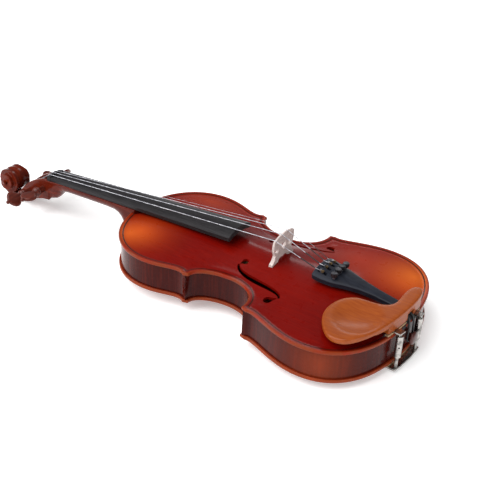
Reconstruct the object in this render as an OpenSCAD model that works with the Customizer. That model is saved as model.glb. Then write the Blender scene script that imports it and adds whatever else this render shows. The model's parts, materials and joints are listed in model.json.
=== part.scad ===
// Full-size violin, lying on its back: scroll towards -X, tail towards +X,
// bass side towards -Y, belly upwards. It rests on the arch of its back and on
// the back of its scroll, so the body leans by the rest tilt below.

/* [Body] */
// Length of the body, without the button
body_l = 355; // [352:1:358]
// Half width of the upper bout
upper_w = 83.5; // [82:0.5:85]
// Half width of the waist
waist_w = 52.8; // [52:0.2:54]
// Half width of the lower bout
lower_w = 105.5; // [104:0.5:107]
// Height of the ribs
rib_h = 31; // [30:0.5:32]
// Thickness of the ribs
rib_t = 1.2; // [1:0.1:1.4]
// How far the plates stand out over the ribs
overhang = 2.5; // [2:0.25:3]
// Thickness of both plates at their edge
edge_t = 4; // [3.8:0.1:4.5]
// Height of the belly's arch above the ribs
belly_arch = 15.5; // [15:0.5:16]
// Height of the back's arch below the ribs
back_arch = 15; // [14.5:0.5:15.5]
// Thickness of both plates at the middle
plate_t = 3; // [2.8:0.1:3.5]

/* [Neck and head] */
// Height of the fingerboard's underside above the ribs, at the body's edge
neck_z = 7.8; // [7.5:0.1:8.2]
// Rise of the fingerboard towards the bridge, per millimetre
neck_slope = 0.1005; // [0.099:0.0005:0.102]
// Distance from the body's edge to the nut
nut_x = 130; // [129:0.5:131]
// Half width of the fingerboard at the nut
nut_w = 12; // [11.8:0.1:12.3]
// Half width of the fingerboard at its free end
board_w = 21.2; // [20.8:0.1:21.5]
// Where the fingerboard ends, over the belly
board_end = 142; // [140:0.5:143]
// Radius of the fingerboard's playing surface
board_r = 42; // [41:0.5:44]
// Radius of the scroll's outer turn
scroll_r = 20.5; // [20:0.1:20.6]

/* [Bridge and strings] */
// Distance from the body's neck edge to the bridge
bridge_x = 196.7; // [195:0.1:198]
// Height of the bridge's top above the ribs
bridge_z = 48; // [47:0.1:48.5]
// Distance between neighbouring strings at the nut
nut_pitch = 5.5; // [5.3:0.1:5.7]
// Distance between neighbouring strings at the bridge
bridge_pitch = 11.3; // [11:0.1:11.6]
// Distance between neighbouring strings at the tailpiece
tail_pitch = 8; // [7.9:0.1:8.1]

/* [Pegs and button] */
// Radius of a peg's shank where it leaves the wall beside its head
peg_r = 3.9; // [3.8:0.05:4]
// Radius of a peg's shank at its far end
peg_tip_r = 3.4; // [3.3:0.05:3.5]
// Distance from the middle of the pegbox to the end of a peg's head
peg_reach = 50; // [49:0.5:51]
// Radius of the end button's head
button_r = 7.5; // [7:0.25:8]

/* [Chin rest] */
// Height of the chin rest's rim above the ribs, at the tail
rest_z = 25; // [24.5:0.25:25.5]
// Radius of the clamp's barrels
barrel_r = 3.8; // [3.6:0.1:4]
// Place of the clamp's barrel on the bass side
barrel_bass_y = -28; // [-29:0.5:-27]
// Place of the clamp's barrel on the treble side
barrel_treble_y = 12; // [11.5:0.5:13]

/* [Hidden] */

// Fineness of true circles, and of circles inside a hull
$fn = 64;
hull_fn = 32;
// Steps along each curve of the outline
steps = 9;
// Clearance of a running fit, of glued faces and of faces that only pass each other
run_gap = 0.05;
glue_gap = 0.05;
free_gap = 0.3;
// A size larger than anything it cuts
big = 500;

// Lying on its back: lean of the body, and the offset that puts the lowest point at zero
rest_tilt = 1.364;
rest_lift = 51.2;
middle_x = 67.98;

// ---- Outline of the body, treble half, in the plane of the ribs ----

upper_x = 69;
upper_corner = [125.5, 76.6];
waist_x = 169;
lower_corner = [210, 89.2];
lower_x = 282;
// How full the ends of the bouts are
upper_end = [0.607, 0.559];
lower_end = [0.667, 0.624];

function bez(a, b, c, d, n = steps) = [
    for (i = [0 : n]) let (t = i / n, s = 1 - t)
        s * s * s * a + 3 * s * s * t * b + 3 * s * t * t * c + t * t * t * d
];
function tail_of(list) = [for (i = [1 : len(list) - 1]) list[i]];
function part_of(list, from, to) = [for (i = [from : to]) list[i]];
function reversed(list) = [for (i = [len(list) - 1 : -1 : 0]) list[i]];
function flip(list) = [for (p = list) [p[0], -p[1]]];
function mix(a, b, t) = a + (b - a) * t;

upper_tip = upper_corner + [-3, 0.5];
upper_notch = upper_corner + [3.5, -1.5];
lower_notch = lower_corner + [-3.5, -1.5];
lower_tip = lower_corner + [3, 0.5];

upper_edge = concat(
    bez([0, 0], [0, upper_end[0] * upper_w], [upper_x * (1 - upper_end[1]), upper_w], [upper_x, upper_w]),
    tail_of(bez([upper_x, upper_w], [mix(upper_x, upper_tip[0], 0.5), upper_w],
        upper_tip - [11, 9], upper_tip))
);
middle_edge = concat(
    bez(upper_notch, upper_notch + [-1.5, -13], [waist_x - 20, waist_w], [waist_x, waist_w]),
    tail_of(bez([waist_x, waist_w], [waist_x + 26, waist_w], lower_notch + [2, -18], lower_notch))
);
lower_edge = concat(
    bez(lower_tip, lower_tip + [9, -4], [mix(lower_x, lower_tip[0], 0.45), lower_w], [lower_x, lower_w]),
    tail_of(bez([lower_x, lower_w], [mix(lower_x, body_l, lower_end[1]), lower_w],
        [body_l, lower_end[0] * lower_w], [body_l, 0]))
);
half_edge = concat(upper_edge, middle_edge, lower_edge);
whole_edge = concat(half_edge, reversed(flip(part_of(half_edge, 1, len(half_edge) - 2))));

// A curve moved towards the inside of the body; it leaves the middle line squarely
function inward(curve, d) = [
    for (i = [0 : len(curve) - 1])
        let (t = curve[i][1] == 0 ? [0, i == 0 ? 1 : -1]
                : curve[min(i + 1, len(curve) - 1)] - curve[max(i - 1, 0)])
            curve[i] + d * [t[1], -t[0]] / norm(t)
];
function strip(curve, outer, inner) = concat(inward(curve, outer), reversed(inward(curve, inner)));

// ---- Arch of the plates ----

// Flat margin between the edge and the foot of the arch
margin = 6.5;
// How full the arch is across and along the body
cross_fullness = 0.65;
length_fullness = 3;
// Exponent of the arch's rounded ends
end_roundness = 2.2;

function rounded_end(u) = pow(max(0, 1 - pow(u, end_roundness)), 1 / end_roundness);
function eased(a, b, u) = a + (b - a) * (0.5 - 0.5 * cos(180 * u));
// Half width of the arched part of a plate
function arch_w(x) =
    x <= margin || x >= body_l - margin ? 0.1
    : x < upper_x ? max(0.1, (upper_w - margin) * rounded_end((upper_x - x) / (upper_x - margin)))
    : x < waist_x ? eased(upper_w - margin, waist_w - margin, (x - upper_x) / (waist_x - upper_x))
    : x < lower_x ? eased(waist_w - margin, lower_w - margin, (x - waist_x) / (lower_x - waist_x))
    : max(0.1, (lower_w - margin) * rounded_end((x - lower_x) / (body_l - margin - lower_x)));
function long_arch(x) =
    let (u = (2 * x - body_l) / (body_l - 2 * margin)) max(0, 1 - pow(abs(u), length_fullness));
function cross_arch(t) = pow(0.5 + 0.5 * cos(180 * min(abs(t), 1)), cross_fullness);
// Height of an arched surface that is low at its edge and high in the middle
function arch_z(x, y, low, high) = low + (high - low) * long_arch(x) * cross_arch(y / arch_w(x));

grid_nx = 30;
grid_ny = 20;
// The margins at both ends stay flat
grid_x = concat([-1], [for (i = [0 : grid_nx - 2]) mix(margin, body_l - margin, i / (grid_nx - 2))],
    [body_l + 1]);
grid_y = [for (j = [0 : grid_ny]) mix(-lower_w - 2, lower_w + 2, j / grid_ny)];

// Solid between two surfaces given at the crossings of two lists of x and y
module slab(xs, ys, upper, lower) {
    nx = len(xs);
    ny = len(ys);
    count = nx * ny;
    points = concat(
        [for (i = [0 : nx - 1]) for (j = [0 : ny - 1]) [xs[i], ys[j], upper[i][j]]],
        [for (i = [0 : nx - 1]) for (j = [0 : ny - 1]) [xs[i], ys[j], lower[i][j]]]
    );
    tops = [for (i = [0 : nx - 2]) for (j = [0 : ny - 2]) let (a = i * ny + j)
        each [[a, a + 1, a + ny + 1], [a, a + ny + 1, a + ny]]];
    bottoms = [for (f = tops) [f[2] + count, f[1] + count, f[0] + count]];
    ends = [for (j = [0 : ny - 2]) let (a = j, b = (nx - 1) * ny + j)
        each [[a, a + count, a + count + 1], [a, a + count + 1, a + 1],
              [b, b + 1, b + count + 1], [b, b + count + 1, b + count]]];
    sides = [for (i = [0 : nx - 2]) let (a = i * ny, b = a + ny - 1)
        each [[a, a + ny, a + ny + count], [a, a + ny + count, a + count],
              [b, b + count, b + ny + count], [b, b + ny + count, b + ny]]];
    polyhedron(points, concat(tops, bottoms, ends, sides), convexity = 6);
}

function arch_grid(xs, ys, low, high) = [for (x = xs) [for (y = ys) arch_z(x, y, low, high)]];
function flat_grid(xs, ys, z) = [for (x = xs) [for (y = ys) z]];

// Block below the belly's outer or inner surface, over a part of the grid
module under_belly(xs, ys, low, high, bottom) {
    slab(xs, ys, arch_grid(xs, ys, low, high), flat_grid(xs, ys, bottom));
}

module arched_shell(high) {
    slab(grid_x, grid_y,
        arch_grid(grid_x, grid_y, edge_t, high),
        arch_grid(grid_x, grid_y, 0, high - plate_t));
}

// ---- Sound holes ----

hole_upper = [168, 25.5];
hole_lower = [222, 63];
hole_upper_r = 3.6;
hole_lower_r = 4.8;
hole_start = [163.5, 31];
hole_end = [231, 57];

// Spine of the slot: a long S between the two eyes, with the width at each point
hole_spine = bez(hole_start, [166, 46], [230, 43], hole_end, 14);
function hole_half_width(t) = 0.8 + 2.5 * pow(sin(180 * t), 1.2);
hole_edges = [for (side = [1, -1]) [
    for (i = [0 : len(hole_spine) - 1])
        let (t = hole_spine[min(i + 1, len(hole_spine) - 1)] - hole_spine[max(i - 1, 0)],
             w = hole_half_width(i / (len(hole_spine) - 1)))
            hole_spine[i] + side * w * [-t[1], t[0]] / norm(t)
]];

module sound_hole() {
    translate(hole_upper) circle(hole_upper_r, $fn = 24);
    translate(hole_lower) circle(hole_lower_r, $fn = 24);
    polygon(concat(hole_edges[0], reversed(hole_edges[1])));
    // Wings that join the slot to its eyes
    hull() {
        translate(hole_start) circle(1.2, $fn = 16);
        translate(hole_upper + [-1.5, 1]) circle(2, $fn = 16);
    }
    hull() {
        translate(hole_end) circle(1.3, $fn = 16);
        translate(hole_lower + [1.5, -1]) circle(3, $fn = 16);
    }
}

// ---- Plates and purfling ----

purfling_in = 4;
purfling_w = 1.3;
purfling_depth = 1.6;

module outline_2d() { polygon(whole_edge); }

module purfling_2d() {
    difference() {
        offset(delta = -purfling_in) outline_2d();
        offset(delta = -purfling_in - purfling_w) outline_2d();
        // The inlay stops at the neck and at the saddle
        translate([-1, -heel_w - 1]) square([purfling_in + 4, 2 * heel_w + 2]);
        translate([saddle_x - 1, -saddle_w - 1]) square([20, 2 * saddle_w + 2]);
    }
}

module top_plate() {
    color("firebrick")
    // An exact width keeps the plate one smooth shell
    resize([0, 2 * lower_w, 0])
    difference() {
        intersection() {
            linear_extrude(big, center = true) outline_2d();
            arched_shell(belly_arch);
        }
        linear_extrude(big, center = true) {
            sound_hole();
            mirror([0, 1]) sound_hole();
        }
        translate([0, 0, edge_t - purfling_depth]) linear_extrude(purfling_depth + 1) purfling_2d();
        heel_root(glue_gap);
        translate([saddle_x, -saddle_w - glue_gap, -1]) cube([20, 2 * (saddle_w + glue_gap), 20]);
    }
}

button_w = 10.5;
button_l = 12;

module back_plate() {
    color("saddlebrown")
    resize([body_l + button_l, 0, 0])
    translate([0, 0, -rib_h])
    mirror([0, 0, 1])
    difference() {
        union() {
            intersection() {
                linear_extrude(big, center = true) outline_2d();
                arched_shell(back_arch);
            }
            linear_extrude(edge_t) button_2d();
        }
        translate([0, 0, edge_t - purfling_depth]) linear_extrude(purfling_depth + 1) purfling_2d();
    }
}

// Rounded tab of the back that covers the bottom of the neck's heel
module button_2d() {
    translate([0, -button_w]) square([heel_l, 2 * button_w]);
    scale([button_l / button_w, 1]) circle(button_w, $fn = 48);
}

module purfling() {
    color("black") {
        translate([0, 0, edge_t - purfling_depth]) linear_extrude(purfling_depth) purfling_2d();
        translate([0, 0, -rib_h - edge_t]) linear_extrude(purfling_depth) purfling_2d();
    }
}

// ---- Ribs, linings and blocks ----

rib_out = overhang;
rib_in = overhang + rib_t;
lining_t = 2;
lining_h = 8;

// Everything on one side of a line through a point
module half_plane(p, angle) {
    translate(p) rotate(angle) translate([-big / 2, 0]) square([big, big / 2]);
}

// Mitres at the two corners: a point near the tip, and the angle of the line inwards
upper_mitre = [upper_corner + [0.1, -1.2], 60];
lower_mitre = [lower_corner + [-0.4, -1.2], 130];

module upper_strip(outer, inner) {
    intersection() {
        polygon(strip(upper_edge, outer, inner));
        half_plane(upper_mitre[0], upper_mitre[1]);
    }
}
module middle_strip(outer, inner) {
    intersection() {
        polygon(strip(middle_edge, outer, inner));
        half_plane(upper_mitre[0], upper_mitre[1] + 180);
        half_plane(lower_mitre[0], lower_mitre[1]);
    }
}
module lower_strip(outer, inner) {
    intersection() {
        polygon(strip(lower_edge, outer, inner));
        half_plane(lower_mitre[0], lower_mitre[1] + 180);
    }
}

module on_side(side) { mirror([0, side < 0 ? 1 : 0, 0]) children(); }

module rib_upper(side) {
    color("maroon") difference() {
        on_side(side) translate([0, 0, -rib_h]) linear_extrude(rib_h) upper_strip(rib_out, rib_in);
        heel_root(glue_gap);
    }
}
module rib_middle(side) {
    color("maroon") on_side(side) translate([0, 0, -rib_h]) linear_extrude(rib_h) middle_strip(rib_out, rib_in);
}
module rib_lower(side) {
    color("maroon") difference() {
        on_side(side) translate([0, 0, -rib_h]) linear_extrude(rib_h) lower_strip(rib_out, rib_in);
        button_hole();
    }
}

module lining_level() {
    for (side = [-1, 1]) on_side(side) linear_extrude(lining_h) {
        difference() {
            union() {
                upper_strip(rib_in, rib_in + lining_t);
                middle_strip(rib_in, rib_in + lining_t);
                lower_strip(rib_in, rib_in + lining_t);
            }
            blocks_2d();
            translate([-1, -1]) square([neck_block_l + 1, neck_block_w + 1.01]);
            translate([body_l - end_block_l, -1]) square([end_block_l + 1, end_block_w + 1.01]);
        }
    }
}
module linings() {
    color("burlywood") {
        translate([0, 0, -lining_h]) lining_level();
        translate([0, 0, -rib_h]) lining_level();
    }
}

block_steps = 4;

// Cross-sections of the two corner blocks of the treble side
module blocks_2d() {
    u = inward(upper_edge, rib_in + glue_gap);
    m = inward(middle_edge, rib_in + glue_gap);
    l = inward(lower_edge, rib_in + glue_gap);
    polygon(concat(
        part_of(u, len(u) - 1 - block_steps, len(u) - 2),
        part_of(m, 1, block_steps)));
    polygon(concat(
        part_of(m, len(m) - 1 - block_steps, len(m) - 2),
        part_of(l, 1, block_steps)));
}
module corner_blocks() {
    color("wheat")
    for (side = [-1, 1]) on_side(side) translate([0, 0, -rib_h]) linear_extrude(rib_h) blocks_2d();
}

neck_block_l = 20;
neck_block_w = 26;
end_block_l = 17;
end_block_w = 24;

// The room inside the ribs near one end of the body
module inside_2d() {
    edge = inward(half_edge, rib_in + glue_gap);
    polygon(concat(part_of(edge, 0, 2 * steps - 2), [[upper_x, 0]],
        reversed(flip(part_of(edge, 0, 2 * steps - 2)))));
    n = len(edge) - 1;
    polygon(concat(part_of(edge, n - steps, n), reversed(flip(part_of(edge, n - steps, n)))));
}
module neck_block() {
    color("wheat") difference() {
        translate([0, 0, -rib_h]) linear_extrude(rib_h) intersection() {
            inside_2d();
            translate([0, -neck_block_w]) square([neck_block_l, 2 * neck_block_w]);
        }
        heel_root(glue_gap);
    }
}
module end_block() {
    color("wheat") difference() {
        translate([0, 0, -rib_h]) linear_extrude(rib_h) intersection() {
            inside_2d();
            translate([body_l - end_block_l, -end_block_w]) square([end_block_l, 2 * end_block_w]);
        }
        button_hole();
    }
}
// Hole for the end button's shank, through the ribs and the block
module button_hole() {
    translate([body_l - 2 * end_block_l, 0, button_z]) rotate([0, 90, 0])
        cylinder(h = 3 * end_block_l, r = button_shank_r + run_gap);
}

// ---- Bass bar and sound post ----

bar_x = [55, 318];
bar_y = -16.5;
bar_w = 5.5;
bar_depth = 11;

module bass_bar() {
    xs = [for (x = grid_x) if (x > bar_x[0] && x < bar_x[1]) x];
    ys = [bar_y - bar_w / 2, bar_y + bar_w / 2];
    first = xs[0];
    last = xs[len(xs) - 1];
    // Deepest under the bridge, thin at both ends
    lower = [for (x = xs) [for (y = ys)
        arch_z(x, y, 0, belly_arch - plate_t) - glue_gap * 4
            - max(1.5, bar_depth * sin(180 * (x - first) / (last - first)))]];
    upper = [for (x = xs) [for (y = ys) arch_z(x, y, 0, belly_arch - plate_t) - glue_gap * 4]];
    color("burlywood") slab(xs, ys, upper, lower);
}

post_x = bridge_x + 6;
post_y = 18;
post_r = 3.1;

module sound_post() {
    top = arch_z(post_x, post_y + post_r, 0, belly_arch - plate_t) - glue_gap * 2;
    bottom = -rib_h - arch_z(post_x, post_y + post_r, 0, back_arch - plate_t) + glue_gap * 2;
    color("burlywood") translate([post_x, post_y, bottom]) cylinder(h = top - bottom, r = post_r);
}

// ---- Neck, pegbox and scroll ----

heel_w = 17;
heel_l = 7.5;
// Underside of the fingerboard
function board_z(x) = neck_z + neck_slope * x;

// Root of the heel, let into the block, the ribs and the belly
module heel_root(gap) {
    intersection() {
        rotate([90, 0, 90]) linear_extrude(heel_l + gap)
            polygon([[-button_w - gap, -rib_h], [button_w + gap, -rib_h],
                [heel_w + gap, edge_t], [heel_w + gap, 20], [-heel_w - gap, 20], [-heel_w - gap, edge_t]]);
        translate([0, 0, neck_z]) rotate([0, -atan(neck_slope), 0])
            translate([-big / 2, -big / 2, -big]) cube([big, big, big]);
    }
}

// Stations of the neck: x, depth below the fingerboard, half width, squareness of the section
neck_stations = [
    [-nut_x - 6.5, 27.0, 12.4, 3.0],
    [-nut_x - 3, 27.2, 12.4, 3.0],
    [-nut_x + 3, 25.5, 12.3, 2.8],
    [-nut_x + 8, 20.5, 12.2, 2.6],
    [-nut_x + 12, 15.4, 12.2, 2.4],
    [-nut_x + 17, 12.6, 12.3, 2.2],
    [-nut_x + 28, 12.0, 12.8, 2.2],
    [-70, 12.2, 14.2, 2.2],
    [-40, 12.8, 15.5, 2.2],
    [-28, 14.0, 15.9, 2.2],
    [-21, 18.0, 16.2, 2.2],
    [-16, 24.5, 16.4, 2.3],
    [-12.5, 32.0, 16.6, 2.5],
    [-10.5, 37.6, 16.7, 2.7],
    [0, 38.7, 17.0, 3.2]
];
section_steps = 12;

function neck_ring(s) = [
    for (j = [0 : section_steps])
        let (a = 180 - 180 * j / section_steps, e = 2 / s[3])
            [s[0],
             s[2] * (cos(a) < 0 ? -1 : 1) * pow(abs(cos(a)), e),
             board_z(s[0]) - s[1] * pow(abs(sin(a)), e)]
];

// Solid through a list of rings with the same number of points
module loft(rings) {
    n = len(rings[0]);
    m = len(rings);
    sides = [for (i = [0 : m - 2]) for (j = [0 : n - 1])
        let (a = i * n + j, b = i * n + (j + 1) % n)
            each [[a, a + n, b + n], [a, b + n, b]]];
    caps = [[for (j = [0 : n - 1]) j], [for (j = [n - 1 : -1 : 0]) (m - 1) * n + j]];
    polyhedron([for (r = rings) each r], concat(sides, caps), convexity = 6);
}

head_top = bez([-nut_x - 4, -5.8], [-155, -6.5], [-174, -22], [-189, -43], 12);
head_back = bez([-nut_x - 4, -32.4], [-152, -33.5], [-172, -49], [-201, -56], 12);
scroll_x = -206;
scroll_z = -35;
head_w = [12.4, 9.4];
cavity_w = [8.3, 5.6];
cavity_x = [-137, -187];
// Floor of the pegbox, from the nut to the scroll
cavity_floor = [[-137, -26.5], [-155, -32.5], [-168.5, -38.9], [-180.5, -43.9], [-187, -46.5]];

// Extrusion of a side profile across the whole head, drawn in x and z
module side_profile(points) {
    rotate([90, 0, 0]) translate([0, 0, -30]) linear_extrude(60) polygon(points);
}
// Plan of the head: half width at two places along it
module plan_taper(xs, ws) {
    translate([0, 0, -big / 2]) linear_extrude(big)
        polygon([[xs[0], -ws[0]], [xs[1], -ws[1]], [xs[1], ws[1]], [xs[0], ws[0]]]);
}

// Turn of each peg's flat head about its own axis
peg_turn = [0, -40, 40, -50];
// Peg places: x, z, and the side of the head
peg_places = [[-143, -19.5, -1], [-168.5, -32.5, -1], [-180.5, -38.8, 1], [-155.5, -24.5, 1]];

module pegbox() {
    difference() {
        intersection() {
            side_profile(concat(head_top, [[-199, -48]], reversed(head_back)));
            plan_taper([-nut_x - 4, -201], head_w);
        }
        intersection() {
            side_profile(concat([[cavity_x[0], 10]], cavity_floor, [[cavity_x[1], 10]]));
            plan_taper(cavity_x, cavity_w);
        }
    }
}

// Turns of the scroll: radius and half width, each a cylinder inside the last
scroll_turns = [[1, 6], [0.84, 9], [0.66, 13], [0.46, 17.5], [0.22, 21]];

module scroll() {
    for (turn = scroll_turns)
        translate([scroll_x + (1 - turn[0]) * 3, 0, scroll_z - (1 - turn[0]) * 2])
            rotate([90, 0, 0]) cylinder(h = 2 * turn[1], r = scroll_r * turn[0], center = true);
}

module neck() {
    color("brown") difference() {
        union() {
            loft([for (s = neck_stations) neck_ring(s)]);
            pegbox();
            scroll();
            heel_root(0);
        }
        for (p = peg_places) translate([p[0], 0, p[1]]) peg_turned(p[2]) peg_cone(run_gap);
    }
}

// ---- Fingerboard, nut, saddle ----

board_edge_t = 5;
arc_steps = 10;

function board_half_w(x) = mix(nut_w, board_w, (x + nut_x) / (board_end + nut_x));
function crown(w, y) = sqrt(board_r * board_r - y * y) - sqrt(board_r * board_r - w * w);
// Height of the playing surface
function play_z(x, y) = board_z(x) + board_edge_t + crown(board_half_w(x), y);

module fingerboard() {
    xs = [-nut_x, -70, 0, 8, 60, board_end];
    color([0.15, 0.14, 0.15]) difference() {
        loft([for (x = xs) let (w = board_half_w(x)) concat(
            [for (j = [0 : arc_steps]) let (y = w - 2 * w * j / arc_steps) [x, y, play_z(x, y)]],
            [[x, -w + 0.8, board_z(x) + glue_gap], [x, w - 0.8, board_z(x) + glue_gap]]
        )]);
        // Hollow under the free end
        translate([30, 0, board_z(30) - 9]) rotate([0, 90 - atan(neck_slope), 0])
            cylinder(h = board_end, r = 12.5);
    }
}

nut_l = 6;
nut_rise = 1.3;
nut_fall = 1.6;
string_r = [0.4, 0.4, 0.34, 0.15];
string_y = [-1.5, -0.5, 0.5, 1.5];
// Space between a string and the nut it lies on
nut_gap = 0.12;

module nut() {
    color([0.15, 0.14, 0.15])
    loft([for (u = [1, 0.5, 0])
        let (x = -nut_x - glue_gap - nut_l * u, low = board_z(x) + glue_gap) concat(
            [for (j = [0 : arc_steps]) let (y = nut_w - 2 * nut_w * j / arc_steps)
                [x, y, play_z(-nut_x, y) + nut_rise - nut_fall * u * u]],
            [[x, -nut_w, low], [x, nut_w, low]]
        )]);
}

saddle_x = 348.5;
saddle_w = 17;
saddle_z = 9;

// Half width of the raised middle that the tailgut lies on
saddle_rise_w = 5.9;

module saddle() {
    color([0.15, 0.14, 0.15]) intersection() {
        union() {
            rotate([90, 0, 0]) linear_extrude(2 * saddle_rise_w, center = true)
                polygon([[saddle_x + glue_gap, glue_gap], [saddle_x + glue_gap, edge_t + 0.5],
                    [saddle_x + 2, saddle_z], [saddle_x + 3.5, saddle_z], [saddle_x + 5, saddle_z - 1.8],
                    [saddle_x + 6.2, edge_t], [saddle_x + 6.5, glue_gap]]);
            // Wings, level with the belly's edge
            translate([saddle_x + glue_gap, -saddle_w, glue_gap])
                cube([7, 2 * saddle_w, edge_t - 2 * glue_gap]);
        }
        linear_extrude(saddle_z + 1) outline_2d();
    }
}

// ---- Bridge ----

foot_w = 20.8;
bridge_t = [4.4, 1.5];

function bridge_arc(y) = bridge_z - (board_r - sqrt(board_r * board_r - y * y)) - string_r[0];

module bridge_2d() {
    top = [for (j = [0 : 8]) let (y = 18.6 * j / 8) [y, bridge_arc(y)]];
    side = concat(top,
        tail_of(bez([18.6, bridge_arc(18.6)], [20.8, 34], [17, 27], [15.2, 24.5], 4)),
        tail_of(bez([15.2, 24.5], [16.8, 19], [17.5, 17], [foot_w, 15.6], 4)),
        [[foot_w, 11], [9.6, 11]],
        bez([9.6, 15.8], [9.3, 18.6], [4.5, 19.4], [0, 19.4], 5));
    mirrored = [for (p = reversed(part_of(side, 1, len(side) - 2))) [-p[0], p[1]]];
    difference() {
        polygon(concat(side, mirrored));
        // Heart
        for (side = [-1, 1]) translate([side * 2.2, 33.5]) circle(2.7);
        polygon([[-4.6, 32.3], [4.6, 32.3], [0.9, 26.6], [-0.9, 26.6]]);
        // Side openings
        for (side = [-1, 1]) {
            translate([side * 12.2, 29.2]) circle(2.9);
            translate([side * 16.5, 30.5]) circle(1.9);
        }
    }
}

module bridge() {
    xs = [bridge_x - 6, bridge_x, bridge_x + 6];
    ys = [for (j = [0 : 12]) mix(-24, 24, j / 12)];
    color("gainsboro") difference() {
        translate([bridge_x + bridge_t[0] / 2, 0, 0]) rotate([90, 0, -90]) linear_extrude(bridge_t[0])
            mirror([1, 0]) bridge_2d();
        // The face towards the neck slopes, so the top is thin
        translate([bridge_x - bridge_t[0] / 2, -30, 13])
            rotate([0, atan((bridge_t[0] - bridge_t[1]) / (bridge_z - 13)), 0])
                translate([-10, 0, 0]) cube([10, 60, 60]);
        under_belly(xs, ys, edge_t + 0.12, belly_arch + 0.12, 0);
    }
}

// ---- Strings ----

ridge_x = 247;
fork_x = 252.5;

module rod(a, b, r) {
    d = b - a;
    translate(a) rotate([0, acos(d[2] / norm(d)), atan2(d[1], d[0])]) cylinder(h = norm(d), r = r, $fn = 16);
}
module cable(points, r) {
    for (i = [0 : len(points) - 2]) rod(points[i], points[i + 1], r);
    for (i = [1 : len(points) - 2]) translate(points[i]) sphere(r, $fn = 16);
}

// Places that a string touches, from its peg to its tailpiece end
winding_y = [-4.6, -2.4, 2.2, 3.4];
winding_r = 4.5;

function nut_point(i, back) =
    let (y = string_y[i] * nut_pitch)
        [-nut_x - nut_l * back, y, play_z(-nut_x, y) + nut_rise - nut_fall * back * back + string_r[i] + nut_gap];
function bridge_point(i) =
    let (y = string_y[i] * bridge_pitch) [bridge_x + 1.4, y, bridge_arc(y) + string_r[i] + 0.05];
function ridge_point(i) =
    let (y = string_y[i] * tail_pitch) [ridge_x, y, tail_top(ridge_x, y) + string_r[i] + 0.15];
function fork_point(i) =
    let (y = string_y[i] * tail_pitch) [fork_x, y, tail_top(ridge_x, y) + string_r[i] - 0.2];

module string_of(i) {
    peg = peg_places[i];
    top = [peg[0], winding_y[i], peg[1] + winding_r + string_r[i] + free_gap];
    fork = fork_point(i);
    ridge = ridge_point(i);
    color("silver") cable([top, nut_point(i, 1), nut_point(i, 0.5), nut_point(i, 0), bridge_point(i), ridge,
        mix(ridge, fork, 0.2)], string_r[i]);
}

// ---- Pegs ----

wall_out = 12;
collar_y = 22;
thumb_r = 11;
thumb_t = 6.5;
thumb_y = peg_reach - 4 - thumb_r;

// The peg's own frame has its head towards +Y
module peg_turned(side) { rotate([0, 0, side < 0 ? 180 : 0]) children(); }
module peg_cone(gap) {
    rotate([-90, 0, 0]) translate([0, 0, -wall_out - 1])
        cylinder(h = 2 * wall_out + 2, r1 = peg_tip_r + gap, r2 = peg_r + gap);
}

module peg(i, turn) {
    p = peg_places[i];
    color("sienna") translate([p[0], 0, p[1]]) peg_turned(p[2]) rotate([-90, 0, 0]) rotate([0, 0, turn]) {
        // Tapered shank
        translate([0, 0, -wall_out]) cylinder(h = 2 * wall_out,
            r1 = mix(peg_tip_r, peg_r, 1 / 26), r2 = mix(peg_tip_r, peg_r, 25 / 26));
        translate([0, 0, wall_out]) cylinder(h = collar_y - wall_out, r1 = peg_r, r2 = 4.4);
        // Two rings of the collar
        translate([0, 0, collar_y - 1]) cylinder(h = 1.6, r = 5.4);
        translate([0, 0, collar_y + 1]) cylinder(h = 1.6, r = 6);
        translate([0, 0, collar_y]) cylinder(h = 6, r1 = 5, r2 = 3.4);
        // Flat head and its pip
        translate([0, 0, thumb_y]) rotate([90, 0, 0]) cylinder(h = thumb_t, r = thumb_r, center = true);
        translate([0, 0, thumb_y + thumb_r - 1]) cylinder(h = 3, r = 2.2);
        translate([0, 0, thumb_y + thumb_r + 2]) sphere(2.2);
    }
}

module winding(i) {
    p = peg_places[i];
    y = winding_y[i];
    color("silver") difference() {
        translate([p[0], y - 2, p[1]]) rotate([-90, 0, 0]) cylinder(h = 4, r = winding_r);
        translate([p[0], 0, p[1]]) peg_turned(p[2]) peg_cone(0);
    }
}

// ---- Tailpiece and its fine tuners ----

tail_x = [246, 343];
tail_crown = [29.5, 18];
tail_edge_t = 5.5;
// Half width of the tailpiece at places along it
tail_widths = [
    [246, 19.2], [249, 19.8], [258, 19.2], [270, 17], [283, 12.8],
    [298, 8.8], [314, 6.6], [330, 6], [343, 5.6]
];
// Radius of its top at the head and at the tail
tail_arc_r = [46, 18];

function tail_t(x) = (x - tail_x[0]) / (tail_x[1] - tail_x[0]);
function tail_crown_z(x) = mix(tail_crown[0], tail_crown[1], tail_t(x));
function tail_top(x, y) =
    let (r = mix(tail_arc_r[0], tail_arc_r[1], tail_t(x))) tail_crown_z(x) - (r - sqrt(r * r - y * y));

// Pivot of the levers, in x and z
lever_pivot = [257, 20.6];
lever_boss_r = 2.1;
lever_t = 2.6;
// Length of the lever's arm from its pivot to the screw
lever_arm = 12;
screw_x = lever_pivot[0] + lever_arm;
screw_r = 1.4;
// Travel of a screw each way
screw_travel = 1.4;
slot_w = 3.4;
axle_r = 1;
axle_l = 35.4;
// Room under the plate, below the crown
cavity_drop = 5.2;
cavity_half_w = 14.4;

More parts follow.
